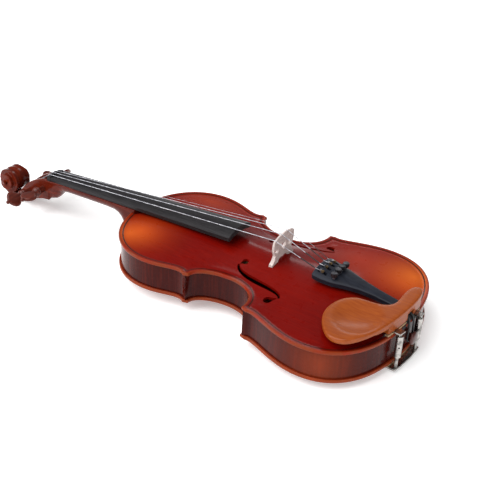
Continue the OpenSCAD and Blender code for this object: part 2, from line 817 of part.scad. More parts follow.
module tailpiece() {
    color([0.12, 0.12, 0.14]) difference() {
        loft([for (s = tail_widths) let (x = s[0], w = s[1], low = tail_top(x, w) - tail_edge_t) concat(
            [for (j = [0 : arc_steps]) let (y = w - 2 * w * j / arc_steps) [x, y, tail_top(x, y)]],
            [[x, -w + 0.8, low], [x, w - 0.8, low]]
        )]);
        // Room for the levers, under the plate
        rotate([90, 0, 0]) linear_extrude(2 * cavity_half_w, center = true) polygon([
            [ridge_x + 2.8, tail_crown_z(ridge_x + 2.8) - cavity_drop], [ridge_x + 2.8, 10],
            [screw_x + 5, 10], [screw_x + 5, tail_crown_z(screw_x + 5) - cavity_drop]
        ]);
        for (i = [0 : 3]) {
            // Slot that a lever's fork stands in
            translate([ridge_x + 2.8, string_y[i] * tail_pitch - slot_w / 2, 10]) cube([10.5, slot_w, 30]);
            // Threaded hole of its screw
            translate([screw_x, string_y[i] * tail_pitch, 10]) cylinder(h = 30, r = screw_r + run_gap);
        }
        // Seats of the axle in both side walls
        translate([lever_pivot[0], 0, lever_pivot[1]]) rotate([90, 0, 0])
            cylinder(h = axle_l + free_gap, r = axle_r + 0.02, center = true);
        // Room for the tailgut's two ends
        for (side = [-1, 1]) translate([gut_path[0][0] - 1, side * gut_path[0][1], gut_path[0][2]])
            rotate([0, 90, 0]) cylinder(h = 20, r = gut_r + glue_gap);
    }
}

module lever_axle() {
    color("silver") translate([lever_pivot[0], 0, lever_pivot[1]]) rotate([90, 0, 0])
        cylinder(h = axle_l, r = axle_r, center = true);
}

// Bent lever: a fork that stands up and holds the string, and an arm under the screw
module lever(i) {
    rise = fork_point(i)[2] - lever_pivot[1];
    color("dimgray") translate([lever_pivot[0], string_y[i] * tail_pitch, lever_pivot[1]]) difference() {
        rotate([90, 0, 0]) linear_extrude(lever_t, center = true) {
            circle(lever_boss_r);
            polygon([[-5.4, rise + 1.2], [-3.4, rise + 1.2], [-3, rise - 1.8], [1.6, 1.3], [-2, -0.7]]);
            polygon([[-1, -2.1], [lever_arm + 2, -3.3], [lever_arm + 2, -1.3], [1, 1.8]]);
        }
        rotate([90, 0, 0]) cylinder(h = 10, r = axle_r + run_gap, center = true);
        // Notch of the fork, round the string
        translate([-8, -string_r[i] - 0.15, rise - 2]) cube([8, 2 * string_r[i] + 0.3, 6]);
    }
}

module ball_end(i) {
    p = fork_point(i);
    color("goldenrod") {
        translate([p[0] + 3, p[1], p[2]]) rotate([90, 0, 0]) cylinder(h = 2.2, r = 1.3, center = true);
        rod(p - [1.4, 0, 0], p + [2.2, 0, 0], string_r[i]);
    }
}

knob_r = 3.6;
// Height of the plate's top under the inner rim of a knob
function screw_top(i) = tail_top(screw_x, abs(string_y[i]) * tail_pitch - knob_r);
knob_h = 4.2;
knob_ridges = 14;
// Lowest point of a screw, just over the lever's arm
screw_low = lever_pivot[1] - 0.15;
// Space under a knob at rest
knob_rise = screw_travel + 0.45;

module screw(i) {
    color("dimgray") translate([screw_x, string_y[i] * tail_pitch, screw_low])
        cylinder(h = screw_top(i) + knob_rise + knob_h - 1.2 - screw_low, r = screw_r);
}

module knob(i) {
    color([0.15, 0.15, 0.16]) translate([screw_x, string_y[i] * tail_pitch, screw_top(i) + knob_rise])
        difference() {
            union() {
                cylinder(h = knob_h - 0.6, r = knob_r);
                cylinder(h = knob_h, r = knob_r - 0.6);
            }
            translate([0, 0, -1]) cylinder(h = knob_h, r = screw_r + run_gap);
            for (k = [0 : knob_ridges - 1]) rotate([0, 0, k * 360 / knob_ridges])
                translate([knob_r + 0.35, 0, -1]) cylinder(h = knob_h + 2, r = 0.7, $fn = 16);
        }
}

// ---- Tailgut and end button ----

gut_r = 1.1;
button_z = -15.5;
button_shank_r = 3.9;
button_shank_tip_r = 3.5;
button_shank_l = 14;
button_face = body_l - overhang;
button_neck_r = 4.2;
button_l1 = 8.2;
gut_loop_r = button_neck_r + gut_r + glue_gap;
gut_loop_x = button_face + 4.2;
// Treble half of the tailgut, from the tailpiece over the saddle to the button
gut_path = [
    [334, 3.6, 14.6], [345, 3.6, 14.6], [350.5, 3.8, saddle_z + gut_r + 0.1],
    [352.8, 3.9, saddle_z + gut_r + 0.1], [356.6, 4.2, 5.5], [gut_loop_x, gut_loop_r, button_z]
];

module tailgut() {
    color([0.1, 0.1, 0.1]) {
        for (side = [-1, 1]) cable([for (p = gut_path) [p[0], side * p[1], p[2]]], gut_r);
        // Loop under the neck of the button
        translate([gut_loop_x, 0, button_z]) rotate([90, 0, 90]) rotate([0, 0, 180])
            rotate_extrude(angle = 180) translate([gut_loop_r, 0]) circle(gut_r, $fn = 16);
    }
}

module button_shank() {
    translate([button_face, 0, button_z]) rotate([0, -90, 0])
        cylinder(h = button_shank_l, r1 = button_shank_r, r2 = button_shank_tip_r);
}

module end_button() {
    color("saddlebrown") {
        button_shank();
        translate([button_face, 0, button_z]) rotate([0, 90, 0]) rotate_extrude() polygon(concat(
            [[0, 0], [button_shank_r, 0], [button_shank_r, glue_gap], [button_r, glue_gap], [button_r, 1.2],
             [button_neck_r, 2.4], [button_neck_r, 6], [button_r - 1, 7.2]],
            [for (a = [0 : 15 : 90]) [button_r * cos(a), button_l1 + 3 * sin(a)]]
        ));
    }
}

// ---- Chin rest and its clamp ----

cork_t = 2;
strap_t = 1.6;
strap_z = edge_t + cork_t;
foot_z = strap_z + strap_t;
rest_plate_t = 6;
// Fall of the rest's top towards the neck and towards the bass side, per millimetre
rest_fall = [0.0687, 0.0612];
rest_high = [355, -10];
cup_r = 95;
cup_middle = [313, -55];
cup_depth = 3.4;

// Outline of the plate: a cup beside the tailpiece, and a tongue across it
rest_edge = concat(
    bez([284.5, -48], [285, -34], [291, -24], [302, -19.5]),
    tail_of(bez([302, -19.5], [315, -17], [339, -22], [339.5, -3])),
    tail_of(bez([339.5, -3], [339, 10], [336.5, 28.5], [348, 28.5])),
    tail_of(bez([348, 28.5], [355.5, 28.5], [356, 12], [355.8, 2])),
    tail_of(bez([355.8, 2], [355, -25], [350, -60], [334, -81])),
    tail_of(bez([334, -81], [326, -92], [314, -93], [304, -85])),
    tail_of(bez([304, -85], [293, -76], [284, -62], [284.5, -48]))
);

function rest_top(x, y) = rest_z + rest_fall[0] * (x - rest_high[0]) + rest_fall[1] * (y - rest_high[1]);

// Everything below the rest's sloping top, lowered by a distance
module below_rest_top(down) {
    translate([rest_high[0], rest_high[1], rest_z - down])
        multmatrix([[1, 0, 0, 0], [0, 1, 0, 0], [rest_fall[0], rest_fall[1], 1, 0]])
            translate([-big / 2, -big / 2, -big]) cube(big);
}

end_curve = part_of(lower_edge, steps, 2 * steps);
// Band along the end of the body, between two distances from its edge and two values of y
module end_band(outer, inner, y1, y2) {
    half_outer = inward(end_curve, outer);
    half_inner = inward(end_curve, inner);
    intersection() {
        polygon(concat(half_outer, tail_of(reversed(flip(half_outer))),
            flip(half_inner), tail_of(reversed(half_inner))));
        translate([0, y1]) square([big, y2 - y1]);
    }
}

// Feet of the chin rest, on both sides of the tailgut
foot_spans = [[-40, -6.5], [6.5, 24]];

module chin_rest() {
    color("peru") difference() {
        union() {
            difference() {
                translate([0, 0, foot_z]) linear_extrude(big / 10) polygon(tail_of(rest_edge));
                below_rest_top(rest_plate_t);
            }
            for (span = foot_spans) translate([0, 0, foot_z]) linear_extrude(rest_z - foot_z - 3)
                end_band(0.4, 9, span[0], span[1]);
        }
        difference() {
            translate([200, -150, 0]) cube([200, 300, 100]);
            below_rest_top(0);
        }
        // Dish for the chin
        translate([cup_middle[0], cup_middle[1], rest_top(cup_middle[0], cup_middle[1]) + cup_r - cup_depth])
            sphere(cup_r, $fn = 96);
        // Channel over the end of the tailpiece
        translate([320, -8.6, 0]) cube([24.5, 17.2, 19.4]);
    }
}

module chin_rest_cork() {
    color("tan") translate([0, 0, edge_t]) linear_extrude(cork_t)
        for (span = foot_spans) end_band(0.8, 4.4, span[0] + 0.5, span[1] - 0.5);
}

clamp_out = 5;
stud_r = 2;
stud_low = -8;
leg_high = -12;
barrel_z = [-23, 3];
tommy_r = 1;
hook_t = 2;
hook_z = -rib_h - edge_t - cork_t - hook_t;
hook_margin = 5;

function clamp_x(y) = lookup(abs(y), [for (p = reversed(end_curve)) [p[1], p[0]]]) + clamp_out;
clamp_ys = [barrel_bass_y, barrel_treble_y];

// Straps under the feet, each with a stud that hangs behind the ribs
module clamp_foot() {
    color("silver") for (y = clamp_ys) {
        translate([0, 0, strap_z]) linear_extrude(strap_t) end_band(-clamp_out - 2.6, 5.8, y - 4, y + 4);
        translate([clamp_x(y), y, stud_low]) cylinder(h = strap_z + strap_t / 2 - stud_low, r = stud_r);
    }
}

module barrel(y) {
    color("gainsboro") translate([clamp_x(y), y, barrel_z[0]]) difference() {
        cylinder(h = barrel_z[1] - barrel_z[0], r = barrel_r);
        translate([0, 0, -1]) cylinder(h = barrel_z[1] - barrel_z[0] + 2, r = stud_r + run_gap);
        // Cross hole for the turning pin
        translate([0, 0, (barrel_z[1] - barrel_z[0]) / 2]) rotate([90, 0, 35])
            cylinder(h = 20, r = tommy_r, center = true);
    }
}

// Hook under the back, with the two threaded legs
module clamp_hook() {
    color("silver") {
        translate([0, 0, hook_z]) linear_extrude(hook_t)
            end_band(-clamp_out - 2.6, 5.8, barrel_bass_y - hook_margin, barrel_treble_y + hook_margin);
        for (y = clamp_ys) translate([clamp_x(y), y, hook_z + hook_t / 2])
            cylinder(h = leg_high - hook_z - hook_t / 2, r = stud_r);
    }
}

module clamp_hook_cork() {
    color("tan") translate([0, 0, hook_z + hook_t]) linear_extrude(cork_t)
        end_band(0.8, 4.4, barrel_bass_y - hook_margin, barrel_treble_y + hook_margin);
}

// ---- Assembly ----

// The body's own frame has its origin at the neck edge, in the plane of the belly's ribs
module lying() {
    translate([-middle_x, 0, rest_lift]) rotate([0, rest_tilt, 0]) children();
}

lying() {
    top_plate();
    back_plate();
    rib_upper(-1);  // rib_upper_bass
    rib_upper(1);  // rib_upper_treble
    rib_middle(-1);  // rib_middle_bass
    rib_middle(1);  // rib_middle_treble
    rib_lower(-1);  // rib_lower_bass
    rib_lower(1);  // rib_lower_treble
    linings();
    corner_blocks();
    neck_block();
    end_block();
    bass_bar();
    sound_post();
    purfling();
    neck();
    fingerboard();
    nut();
    saddle();
    bridge();
    string_of(0);  // string_g
    string_of(1);  // string_d
    string_of(2);  // string_a
    string_of(3);  // string_e
    peg(0, peg_turn[0]);  // peg_g
    peg(1, peg_turn[1]);  // peg_d
    peg(2, peg_turn[2]);  // peg_a
    peg(3, peg_turn[3]);  // peg_e
    winding(0);  // winding_g
    winding(1);  // winding_d
    winding(2);  // winding_a
    winding(3);  // winding_e
    tailpiece();
    tailgut();
    end_button();
    lever_axle();
    lever(0);  // lever_g
    lever(1);  // lever_d
    lever(2);  // lever_a
    lever(3);  // lever_e
    screw(0);  // screw_g
    screw(1);  // screw_d
    screw(2);  // screw_a
    screw(3);  // screw_e
    knob(0);  // knob_g
    knob(1);  // knob_d
    knob(2);  // knob_a
    knob(3);  // knob_e
    ball_end(0);  // ball_end_g
    ball_end(1);  // ball_end_d
    ball_end(2);  // ball_end_a
    ball_end(3);  // ball_end_e
    chin_rest();
    chin_rest_cork();
    clamp_foot();
    barrel(barrel_bass_y);  // barrel_bass
    barrel(barrel_treble_y);  // barrel_treble
    clamp_hook();
    clamp_hook_cork();
}
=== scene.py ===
"""Violin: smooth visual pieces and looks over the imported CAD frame."""

import json
import math

import bpy
import numpy as np
from mathutils import Matrix, Vector
from mathutils.geometry import delaunay_2d_cdt


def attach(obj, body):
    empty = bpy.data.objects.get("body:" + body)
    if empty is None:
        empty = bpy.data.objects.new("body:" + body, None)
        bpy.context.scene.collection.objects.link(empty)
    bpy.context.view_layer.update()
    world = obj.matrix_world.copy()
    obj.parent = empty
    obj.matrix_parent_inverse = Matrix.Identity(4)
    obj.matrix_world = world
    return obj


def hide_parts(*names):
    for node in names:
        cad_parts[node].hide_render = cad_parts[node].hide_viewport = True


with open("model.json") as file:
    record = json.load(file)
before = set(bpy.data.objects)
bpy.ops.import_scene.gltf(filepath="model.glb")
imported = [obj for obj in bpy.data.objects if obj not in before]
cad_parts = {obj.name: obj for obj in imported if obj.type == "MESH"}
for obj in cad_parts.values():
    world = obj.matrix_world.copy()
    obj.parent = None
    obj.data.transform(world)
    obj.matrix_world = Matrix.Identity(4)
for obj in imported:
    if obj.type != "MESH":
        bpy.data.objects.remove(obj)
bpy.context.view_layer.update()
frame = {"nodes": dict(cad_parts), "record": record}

# The violin's own frame: millimetres, origin at the body's neck edge, z 0 on top of the ribs
REST_TILT = math.radians(1.364)
MIDDLE_X = 67.98
REST_LIFT = 51.2
LYING = (Matrix.Translation((-MIDDLE_X / 1000, 0, REST_LIFT / 1000))
         @ Matrix.Rotation(REST_TILT, 4, "Y") @ Matrix.Scale(0.001, 4))
NAMES = "gdae"
STRING_SIDE = dict(g=-1.5, d=-0.5, a=0.5, e=1.5)


def mix(a, b, t):
    return a + (b - a) * t


# ---------------------------------------------------------------- node materials

class Look:
    """A small node graph round one Principled shader."""

    def __init__(self, name, roughness=0.4, metallic=0.0, coat=0.0, coat_roughness=0.08, specular=0.5):
        self.mat = bpy.data.materials.new(name)
        self.mat.use_nodes = True
        self.tree = self.mat.node_tree
        self.shader = self.tree.nodes["Principled BSDF"]
        self.put("Roughness", roughness)
        self.put("Metallic", metallic)
        self.put("Coat Weight", coat)
        self.put("Coat Roughness", coat_roughness)
        self.put("Specular IOR Level", specular)
        coords = self.tree.nodes.new("ShaderNodeTexCoord")
        self.coords = coords.outputs["Object"]

    def put(self, socket, value):
        self.shader.inputs[socket].default_value = value

    def link(self, a, b):
        self.tree.links.new(a, b)

    def feed(self, socket, value):
        self.link(value, self.shader.inputs[socket])

    def noise(self, scale, stretch=(1, 1, 1), detail=3.0, shift=(0, 0, 0)):
        where = self.tree.nodes.new("ShaderNodeMapping")
        where.inputs["Scale"].default_value = stretch
        where.inputs["Location"].default_value = shift
        self.link(self.coords, where.inputs["Vector"])
        n = self.tree.nodes.new("ShaderNodeTexNoise")
        n.inputs["Scale"].default_value = scale
        n.inputs["Detail"].default_value = detail
        self.link(where.outputs["Vector"], n.inputs["Vector"])
        return n.outputs["Fac"]

    def ramp(self, value, stops):
        r = self.tree.nodes.new("ShaderNodeValToRGB")
        for k, (at, colour) in enumerate(stops):
            e = r.color_ramp.elements[k] if k < 2 else r.color_ramp.elements.new(at)
            e.position = at
            e.color = (*colour, 1)
        self.link(value, r.inputs["Fac"])
        return r.outputs["Color"]

    def grey(self, value, low, high, a=0.0, b=1.0):
        r = self.tree.nodes.new("ShaderNodeMapRange")
        for socket, v in (("From Min", low), ("From Max", high), ("To Min", a), ("To Max", b)):
            r.inputs[socket].default_value = v
        self.link(value, r.inputs["Value"])
        return r.outputs["Result"]

    def blend(self, a, b, fac, mode="MIX"):
        m = self.tree.nodes.new("ShaderNodeMix")
        m.data_type = "RGBA"
        m.blend_type = mode
        for k, v in ((6, a), (7, b)):
            if isinstance(v, tuple):
                m.inputs[k].default_value = (*v, 1)
            else:
                self.link(v, m.inputs[k])
        if isinstance(fac, (int, float)):
            m.inputs[0].default_value = fac
        else:
            self.link(fac, m.inputs[0])
        return m.outputs[2]

    def attribute(self, name):
        a = self.tree.nodes.new("ShaderNodeAttribute")
        a.attribute_name = name
        return a.outputs["Fac"]

    def spot(self, centre, radius):
        """1 at a point, 0 beyond an ellipsoid round it."""
        where = self.tree.nodes.new("ShaderNodeMapping")
        where.inputs["Location"].default_value = [-c / r for c, r in zip(centre, radius)]
        where.inputs["Scale"].default_value = [1 / r for r in radius]
        self.link(self.coords, where.inputs["Vector"])
        g = self.tree.nodes.new("ShaderNodeTexGradient")
        g.gradient_type = "QUADRATIC_SPHERE"
        self.link(where.outputs["Vector"], g.inputs["Vector"])
        return g.outputs["Fac"]

    def bump(self, height, strength, distance=0.0002):
        b = self.tree.nodes.new("ShaderNodeBump")
        b.inputs["Strength"].default_value = strength
        b.inputs["Distance"].default_value = distance
        self.link(height, b.inputs["Height"])
        self.feed("Normal", b.outputs["Normal"])


def varnish(name, deep, bright, grain=(2, 60, 60), edge=None, colour_and_highlight_spots=(), figure=0.5, roughness=0.32):
    """Glossy varnish over wood: two tones through the grain, brighter spots (varnish colour on the belly and back,
    painted highlights on the ribs), and a worn edge.
    """
    look = Look(name, roughness=roughness, coat=0.45, coat_roughness=0.12, specular=0.05)
    look.put("Coat IOR", 1.22)
    lines = look.noise(16, grain, 4.0)
    cloud = look.noise(9, (1, 1, 1), 2.0, shift=(3, 1, 2))
    colour = look.ramp(cloud, [(0.3, deep), (0.72, tuple(mix(a, b, 0.35) for a, b in zip(deep, bright)))])
    colour = look.blend(colour, bright, look.grey(lines, 0.45, 0.75, 0, figure))
    # Brighter spots: varnish colour on the belly and back; on the ribs they are painted highlights where light falls.
    for centre, radius, spot_colour, strength in colour_and_highlight_spots:
        colour = look.blend(colour, spot_colour, look.grey(look.spot(centre, radius), 0, 1, 0, strength))
    if edge:
        rim = look.attribute("rim")
        worn = look.blend(edge, bright, look.grey(look.noise(60, (1, 1, 1), 2.0), 0.4, 0.7, 0, 0.6))
        colour = look.blend(worn, colour, look.grey(rim, 0.9, 3.0))
        line = look.ramp(look.grey(rim, 0, 10), [
            (0.0, (0, 0, 0)), (0.395, (0, 0, 0)), (0.41, (1, 1, 1)), (0.54, (1, 1, 1)), (0.56, (0, 0, 0))])
        colour = look.blend(colour, (0.035, 0.008, 0.004), line)
    look.feed("Base Color", colour)
    look.feed("Roughness", look.grey(look.noise(140, (1, 1, 1), 3.0), 0.3, 0.7, roughness - 0.07, roughness + 0.09))
    look.bump(lines, 0.10)
    return look.mat


def bare_wood(name, light, dark, grain=(1.5, 40, 40), roughness=0.5, coat=0.0, bump=0.15, figure=1.0, specular=0.25):
    look = Look(name, roughness=roughness, coat=coat, coat_roughness=0.2, specular=specular)
    lines = look.noise(18, grain, 5.0)
    colour = look.ramp(lines, [(0.28, dark), (0.7, light)])
    pores = look.noise(260, (0.25, 1, 1), 2.0)
    colour = look.blend(colour, dark, look.grey(pores, 0.55, 0.8, 0, 0.5 * figure))
    look.feed("Base Color", colour)
    look.feed("Roughness", look.grey(lines, 0.3, 0.7, roughness - 0.06, roughness + 0.08))
    look.bump(lines, bump)
    return look.mat


def metal(name, colour, dark, roughness):
    look = Look(name, roughness=roughness, metallic=1.0)
    wear = look.noise(220, (1, 1, 1), 4.0)
    look.feed("Base Color", look.ramp(wear, [(0.35, dark), (0.6, colour)]))
    look.feed("Roughness", look.grey(wear, 0.3, 0.7, roughness + 0.12, roughness - 0.03))
    look.bump(wear, 0.05)
    return look.mat


def plain(name, colour, dark, roughness, coat=0.0, grain=(1, 1, 1), bump=0.08, specular=0.5):
    look = Look(name, roughness=roughness, coat=coat, coat_roughness=0.15, specular=specular)
    grit = look.noise(300, grain, 3.0)
    look.feed("Base Color", look.ramp(grit, [(0.3, dark), (0.7, colour)]))
    look.feed("Roughness", look.grey(grit, 0.3, 0.7, roughness - 0.05, roughness + 0.08))
    look.bump(grit, bump)
    return look.mat


def at(x, y, z=0.0):
    """A place in the row frame, in metres, from the violin's own millimetres."""
    return tuple(LYING @ Vector((x, y, z)))


RED = (0.120, 0.0012, 0.0008)
AMBER = (0.44, 0.046, 0.005)
MATS = dict(
    belly_varnish=varnish(
        "belly_varnish", RED, (0.27, 0.007, 0.002), grain=(0.5, 60, 60), edge=(0.21, 0.032, 0.008),
        colour_and_highlight_spots=[(at(36, -42, 8), (0.075, 0.055, 0.2), AMBER, 0.95),
              (at(318, 52, 8), (0.10, 0.085, 0.2), AMBER, 0.85),
              (at(262, 60, 8), (0.08, 0.07, 0.2), (0.34, 0.022, 0.004), 0.8),
              (at(322, 72, 8), (0.06, 0.06, 0.2), (0.62, 0.125, 0.012), 0.85),
              (at(30, -52, 8), (0.05, 0.04, 0.2), (0.62, 0.110, 0.012), 0.7),
              (at(60, 60, 8), (0.09, 0.05, 0.2), AMBER, 0.5)], figure=0.35),
    back_varnish=varnish(
        "back_varnish", (0.11, 0.008, 0.003), (0.30, 0.040, 0.008), grain=(14, 1.2, 1.2), edge=(0.21, 0.034, 0.009),
        colour_and_highlight_spots=[(at(60, 0, -40), (0.09, 0.09, 0.2), AMBER, 0.6), (at(280, 0, -40), (0.1, 0.1, 0.2), AMBER, 0.6)]),
    rib_varnish=varnish(
        "rib_varnish", (0.026, 0.0010, 0.0008), (0.10, 0.008, 0.003), grain=(26, 26, 1.2), figure=0.6,
        # Painted highlights: the two brighter spots on the ribs are lighter colour where the ribs catch the light,
        # not varnish colour.
        colour_and_highlight_spots=[(at(310, -100, -15), (0.07, 0.06, 0.1), (0.30, 0.045, 0.012), 0.6),
              (at(10, -50, -15), (0.05, 0.05, 0.1), (0.26, 0.03, 0.008), 0.5)], roughness=0.25),
    neck_varnish=varnish(
        "neck_varnish", (0.060, 0.0045, 0.002), (0.20, 0.024, 0.007), grain=(1.0, 14, 14), figure=0.6,
        roughness=0.24),
    inner_wood=bare_wood("inner_wood", (0.62, 0.43, 0.24), (0.45, 0.28, 0.14)),
    purfling_wood=plain("purfling_wood", (0.03, 0.012, 0.008), (0.015, 0.008, 0.006), 0.4),
    dark_wood=bare_wood("dark_wood", (0.026, 0.024, 0.026), (0.011, 0.010, 0.011), grain=(1, 30, 30),
                        roughness=0.46, bump=0.08, specular=0.15),
    bridge_wood=bare_wood("bridge_wood", (0.74, 0.64, 0.60), (0.46, 0.38, 0.36), grain=(30, 6, 30),
                          roughness=0.6, bump=0.2),
    string_metal=metal("string_metal", (0.52, 0.52, 0.56), (0.26, 0.26, 0.29), 0.34),
    peg_wood=bare_wood("peg_wood", (0.13, 0.022, 0.012), (0.055, 0.009, 0.006), grain=(20, 3, 20),
                       roughness=0.38, coat=0.25, bump=0.06, specular=0.12),
    tailpiece_black=bare_wood("tailpiece_black", (0.018, 0.021, 0.032), (0.008, 0.009, 0.014),
                              grain=(1, 25, 25), roughness=0.42, bump=0.05, specular=0.18),
    gut_cord=plain("gut_cord", (0.02, 0.02, 0.022), (0.01, 0.01, 0.01), 0.5),
    button_wood=bare_wood("button_wood", (0.075, 0.012, 0.007), (0.03, 0.006, 0.004), grain=(4, 4, 4),
                          roughness=0.32, coat=0.4, bump=0.05),
    tuner_metal=metal("tuner_metal", (0.42, 0.42, 0.45), (0.16, 0.16, 0.18), 0.32),
    knob_black=metal("knob_black", (0.10, 0.10, 0.11), (0.03, 0.03, 0.035), 0.35),
    ball_brass=metal("ball_brass", (0.30, 0.21, 0.11), (0.15, 0.10, 0.05), 0.40),
    chin_rest_wood=bare_wood("chin_rest_wood", (0.31, 0.066, 0.008), (0.235, 0.043, 0.005), grain=(3.5, 26, 26),
                             roughness=0.38, coat=0.25, bump=0.06, figure=0.4, specular=0.12),
    cork=plain("cork", (0.50, 0.33, 0.19), (0.28, 0.17, 0.09), 0.85, bump=0.5),
    nickel=metal("nickel", (0.48, 0.46, 0.44), (0.20, 0.19, 0.18), 0.22),
)


# ---------------------------------------------------------------- mesh helpers

def piece(name, points, faces, slot, body="violin", replaces=(), sharp=35, rim=None):
    """A smooth mesh from the violin's own millimetres, riding a body."""
    mesh = bpy.data.meshes.new(name)
    mesh.from_pydata([LYING @ Vector(p) for p in points], [], faces)
    mesh.validate()
    mesh.update()
    mesh.shade_smooth()
    mesh.set_sharp_from_angle(angle=math.radians(sharp))
    if rim is not None:
        layer = mesh.attributes.new("rim", "FLOAT", "POINT")
        layer.data.foreach_set("value", np.asarray(rim, np.float32))
    obj = bpy.data.objects.new(name, mesh)
    bpy.context.scene.collection.objects.link(obj)
    mesh.materials.append(MATS[slot])
    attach(obj, body)
    if replaces:
        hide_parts(*replaces)
    return obj


def rounded(obj, width, segments=2, angle=35):
    """Rounded edges, and flat faces that stay flat."""
    b = obj.modifiers.new("rounded", "BEVEL")
    b.width = width
    b.segments = segments
    b.limit_method = "ANGLE"
    b.angle_limit = math.radians(angle)
    b.harden_normals = True
    return obj


def loft_mesh(rings):
    """(points, faces) of a closed solid through rings with the same number of points."""
    n = len(rings[0])
    points = [tuple(p) for r in rings for p in r]
    faces = []
    for i in range(len(rings) - 1):
        for j in range(n):
            a, b = i * n + j, i * n + (j + 1) % n
            faces.append((a, b, b + n, a + n))
    last = (len(rings) - 1) * n
    faces.append(tuple(range(n - 1, -1, -1)))
    faces.append(tuple(last + j for j in range(n)))
    return points, faces


def joined(*parts):
    """Several (points, faces) as one."""
    points, faces = [], []
    for p, f in parts:
        k = len(points)
        points += list(p)
        faces += [tuple(i + k for i in face) for face in f]
    return points, faces


def basis(axis):
    """Two directions square to an axis."""
    axis = Vector(axis).normalized()
    side = axis.cross(Vector((0, 0, 1)) if abs(axis.z) < 0.9 else Vector((1, 0, 0))).normalized()
    return axis, side, axis.cross(side)


def lathe_mesh(profile, origin, axis, segments=48):
    """(points, faces) of a profile of (along, radius) turned round an axis."""
    axis, side, up = basis(axis)
    origin = Vector(origin)
    rings = []
    for along, r in profile:
        rings.append([origin + axis * along
                      + side * (r * math.cos(2 * math.pi * j / segments))
                      + up * (r * math.sin(2 * math.pi * j / segments)) for j in range(segments)])
    return loft_mesh(rings)


def tube_mesh(path, r, segments=10):
    """(points, faces) of a round tube along a path."""
    path = [Vector(p) for p in path]
    rings = []
    side = None
    for i, p in enumerate(path):
        d = (path[min(i + 1, len(path) - 1)] - path[max(i - 1, 0)]).normalized()
        side = basis(d)[1] if side is None else (side - d * side.dot(d)).normalized()
        up = d.cross(side)
        rings.append([p + side * (r * math.cos(2 * math.pi * j / segments))
                      + up * (r * math.sin(2 * math.pi * j / segments)) for j in range(segments)])
    return loft_mesh(rings)


def smooth_path(points, per=8):
    """A Catmull-Rom curve through points."""
    pts = [Vector(p) for p in points]
    pts = [2 * pts[0] - pts[1]] + pts + [2 * pts[-1] - pts[-2]]
    out = []
    for i in range(1, len(pts) - 2):
        a, b, c, d = pts[i - 1:i + 3]
        for k in range(per):
            t = k / per
            out.append(0.5 * (2 * b + (c - a) * t + (2 * a - 5 * b + 4 * c - d) * t * t
                              + (3 * b - a - 3 * c + d) * t ** 3))
    return out + [pts[-2]]


def bez(a, b, c, d, n=24):
    t = np.linspace(0, 1, n + 1)[:, None]
    a, b, c, d = (np.array(p, float) for p in (a, b, c, d))
    return (1 - t) ** 3 * a + 3 * (1 - t) ** 2 * t * b + 3 * (1 - t) * t * t * c + t ** 3 * d


# ---------------------------------------------------------------- outline of the body

BODY_L, UPPER_W, WAIST_W, LOWER_W, RIB_H = 355.0, 83.5, 52.8, 105.5, 31.0
OVERHANG, RIB_T, EDGE_T, PLATE_T, MARGIN = 2.5, 1.2, 4.0, 3.0, 6.5
UPPER_X, WAIST_X, LOWER_X = 69.0, 169.0, 282.0
UPPER_CORNER, LOWER_CORNER = np.array([125.5, 76.6]), np.array([210.0, 89.2])
TIPS = [UPPER_CORNER + [-3, 0.5], UPPER_CORNER + [3.5, -1.5], LOWER_CORNER + [-3.5, -1.5], LOWER_CORNER + [3, 0.5]]

upper_edge = np.vstack([
    bez((0, 0), (0, 0.607 * UPPER_W), (UPPER_X * 0.441, UPPER_W), (UPPER_X, UPPER_W)),
    bez((UPPER_X, UPPER_W), (mix(UPPER_X, TIPS[0][0], 0.5), UPPER_W), TIPS[0] - [11, 9], TIPS[0])[1:]])
middle_edge = np.vstack([
    bez(TIPS[1], TIPS[1] + [-1.5, -13], (WAIST_X - 20, WAIST_W), (WAIST_X, WAIST_W)),
    bez((WAIST_X, WAIST_W), (WAIST_X + 26, WAIST_W), TIPS[2] + [2, -18], TIPS[2])[1:]])
lower_edge = np.vstack([
    bez(TIPS[3], TIPS[3] + [9, -4], (mix(LOWER_X, TIPS[3][0], 0.45), LOWER_W), (LOWER_X, LOWER_W)),
    bez((LOWER_X, LOWER_W), (mix(LOWER_X, BODY_L, 0.624), LOWER_W), (BODY_L, 0.667 * LOWER_W), (BODY_L, 0))[1:]])
half_edge = np.vstack([upper_edge, middle_edge, lower_edge])
whole_edge = np.vstack([half_edge, half_edge[-2:0:-1] * [1, -1]])


def inward(curve, d, closed=False):
    """A curve moved towards the inside of the body, mitred."""
    before = np.roll(curve, 1, 0) if closed else np.vstack([2 * curve[0] - curve[1], curve[:-1]])
    after = np.roll(curve, -1, 0) if closed else np.vstack([curve[1:], 2 * curve[-1] - curve[-2]])
    u = (curve - before) / np.linalg.norm(curve - before, axis=1)[:, None]
    v = (after - curve) / np.linalg.norm(after - curve, axis=1)[:, None]
    n = (u + v)[:, ::-1] * [1, -1]
    n /= np.linalg.norm(n, axis=1)[:, None]
    cosine = np.clip((n * (u[:, ::-1] * [1, -1])).sum(1), 0.6, 1)
    return curve + n * (d / cosine)[:, None]


def inside(points, polygon):
    """Which points lie inside a polygon."""
    x, y = points[:, 0], points[:, 1]
    hit = np.zeros(len(points), bool)
    for (x1, y1), (x2, y2) in zip(polygon, np.roll(polygon, -1, 0)):
        crosses = (y1 > y) != (y2 > y)
        with np.errstate(divide="ignore", invalid="ignore"):
            hit ^= crosses & (x < (x2 - x1) * (y - y1) / (y2 - y1 + 1e-12) + x1)
    return hit


def to_edge(points, polygon):
    """Distance of each point from a closed outline."""
    best = np.full(len(points), 1e9)
    for p, q in zip(polygon, np.roll(polygon, -1, 0)):
        d = q - p
        t = np.clip(((points - p) @ d) / (d @ d + 1e-12), 0, 1)
        best = np.minimum(best, np.linalg.norm(points - p - t[:, None] * d, axis=1))
    return best


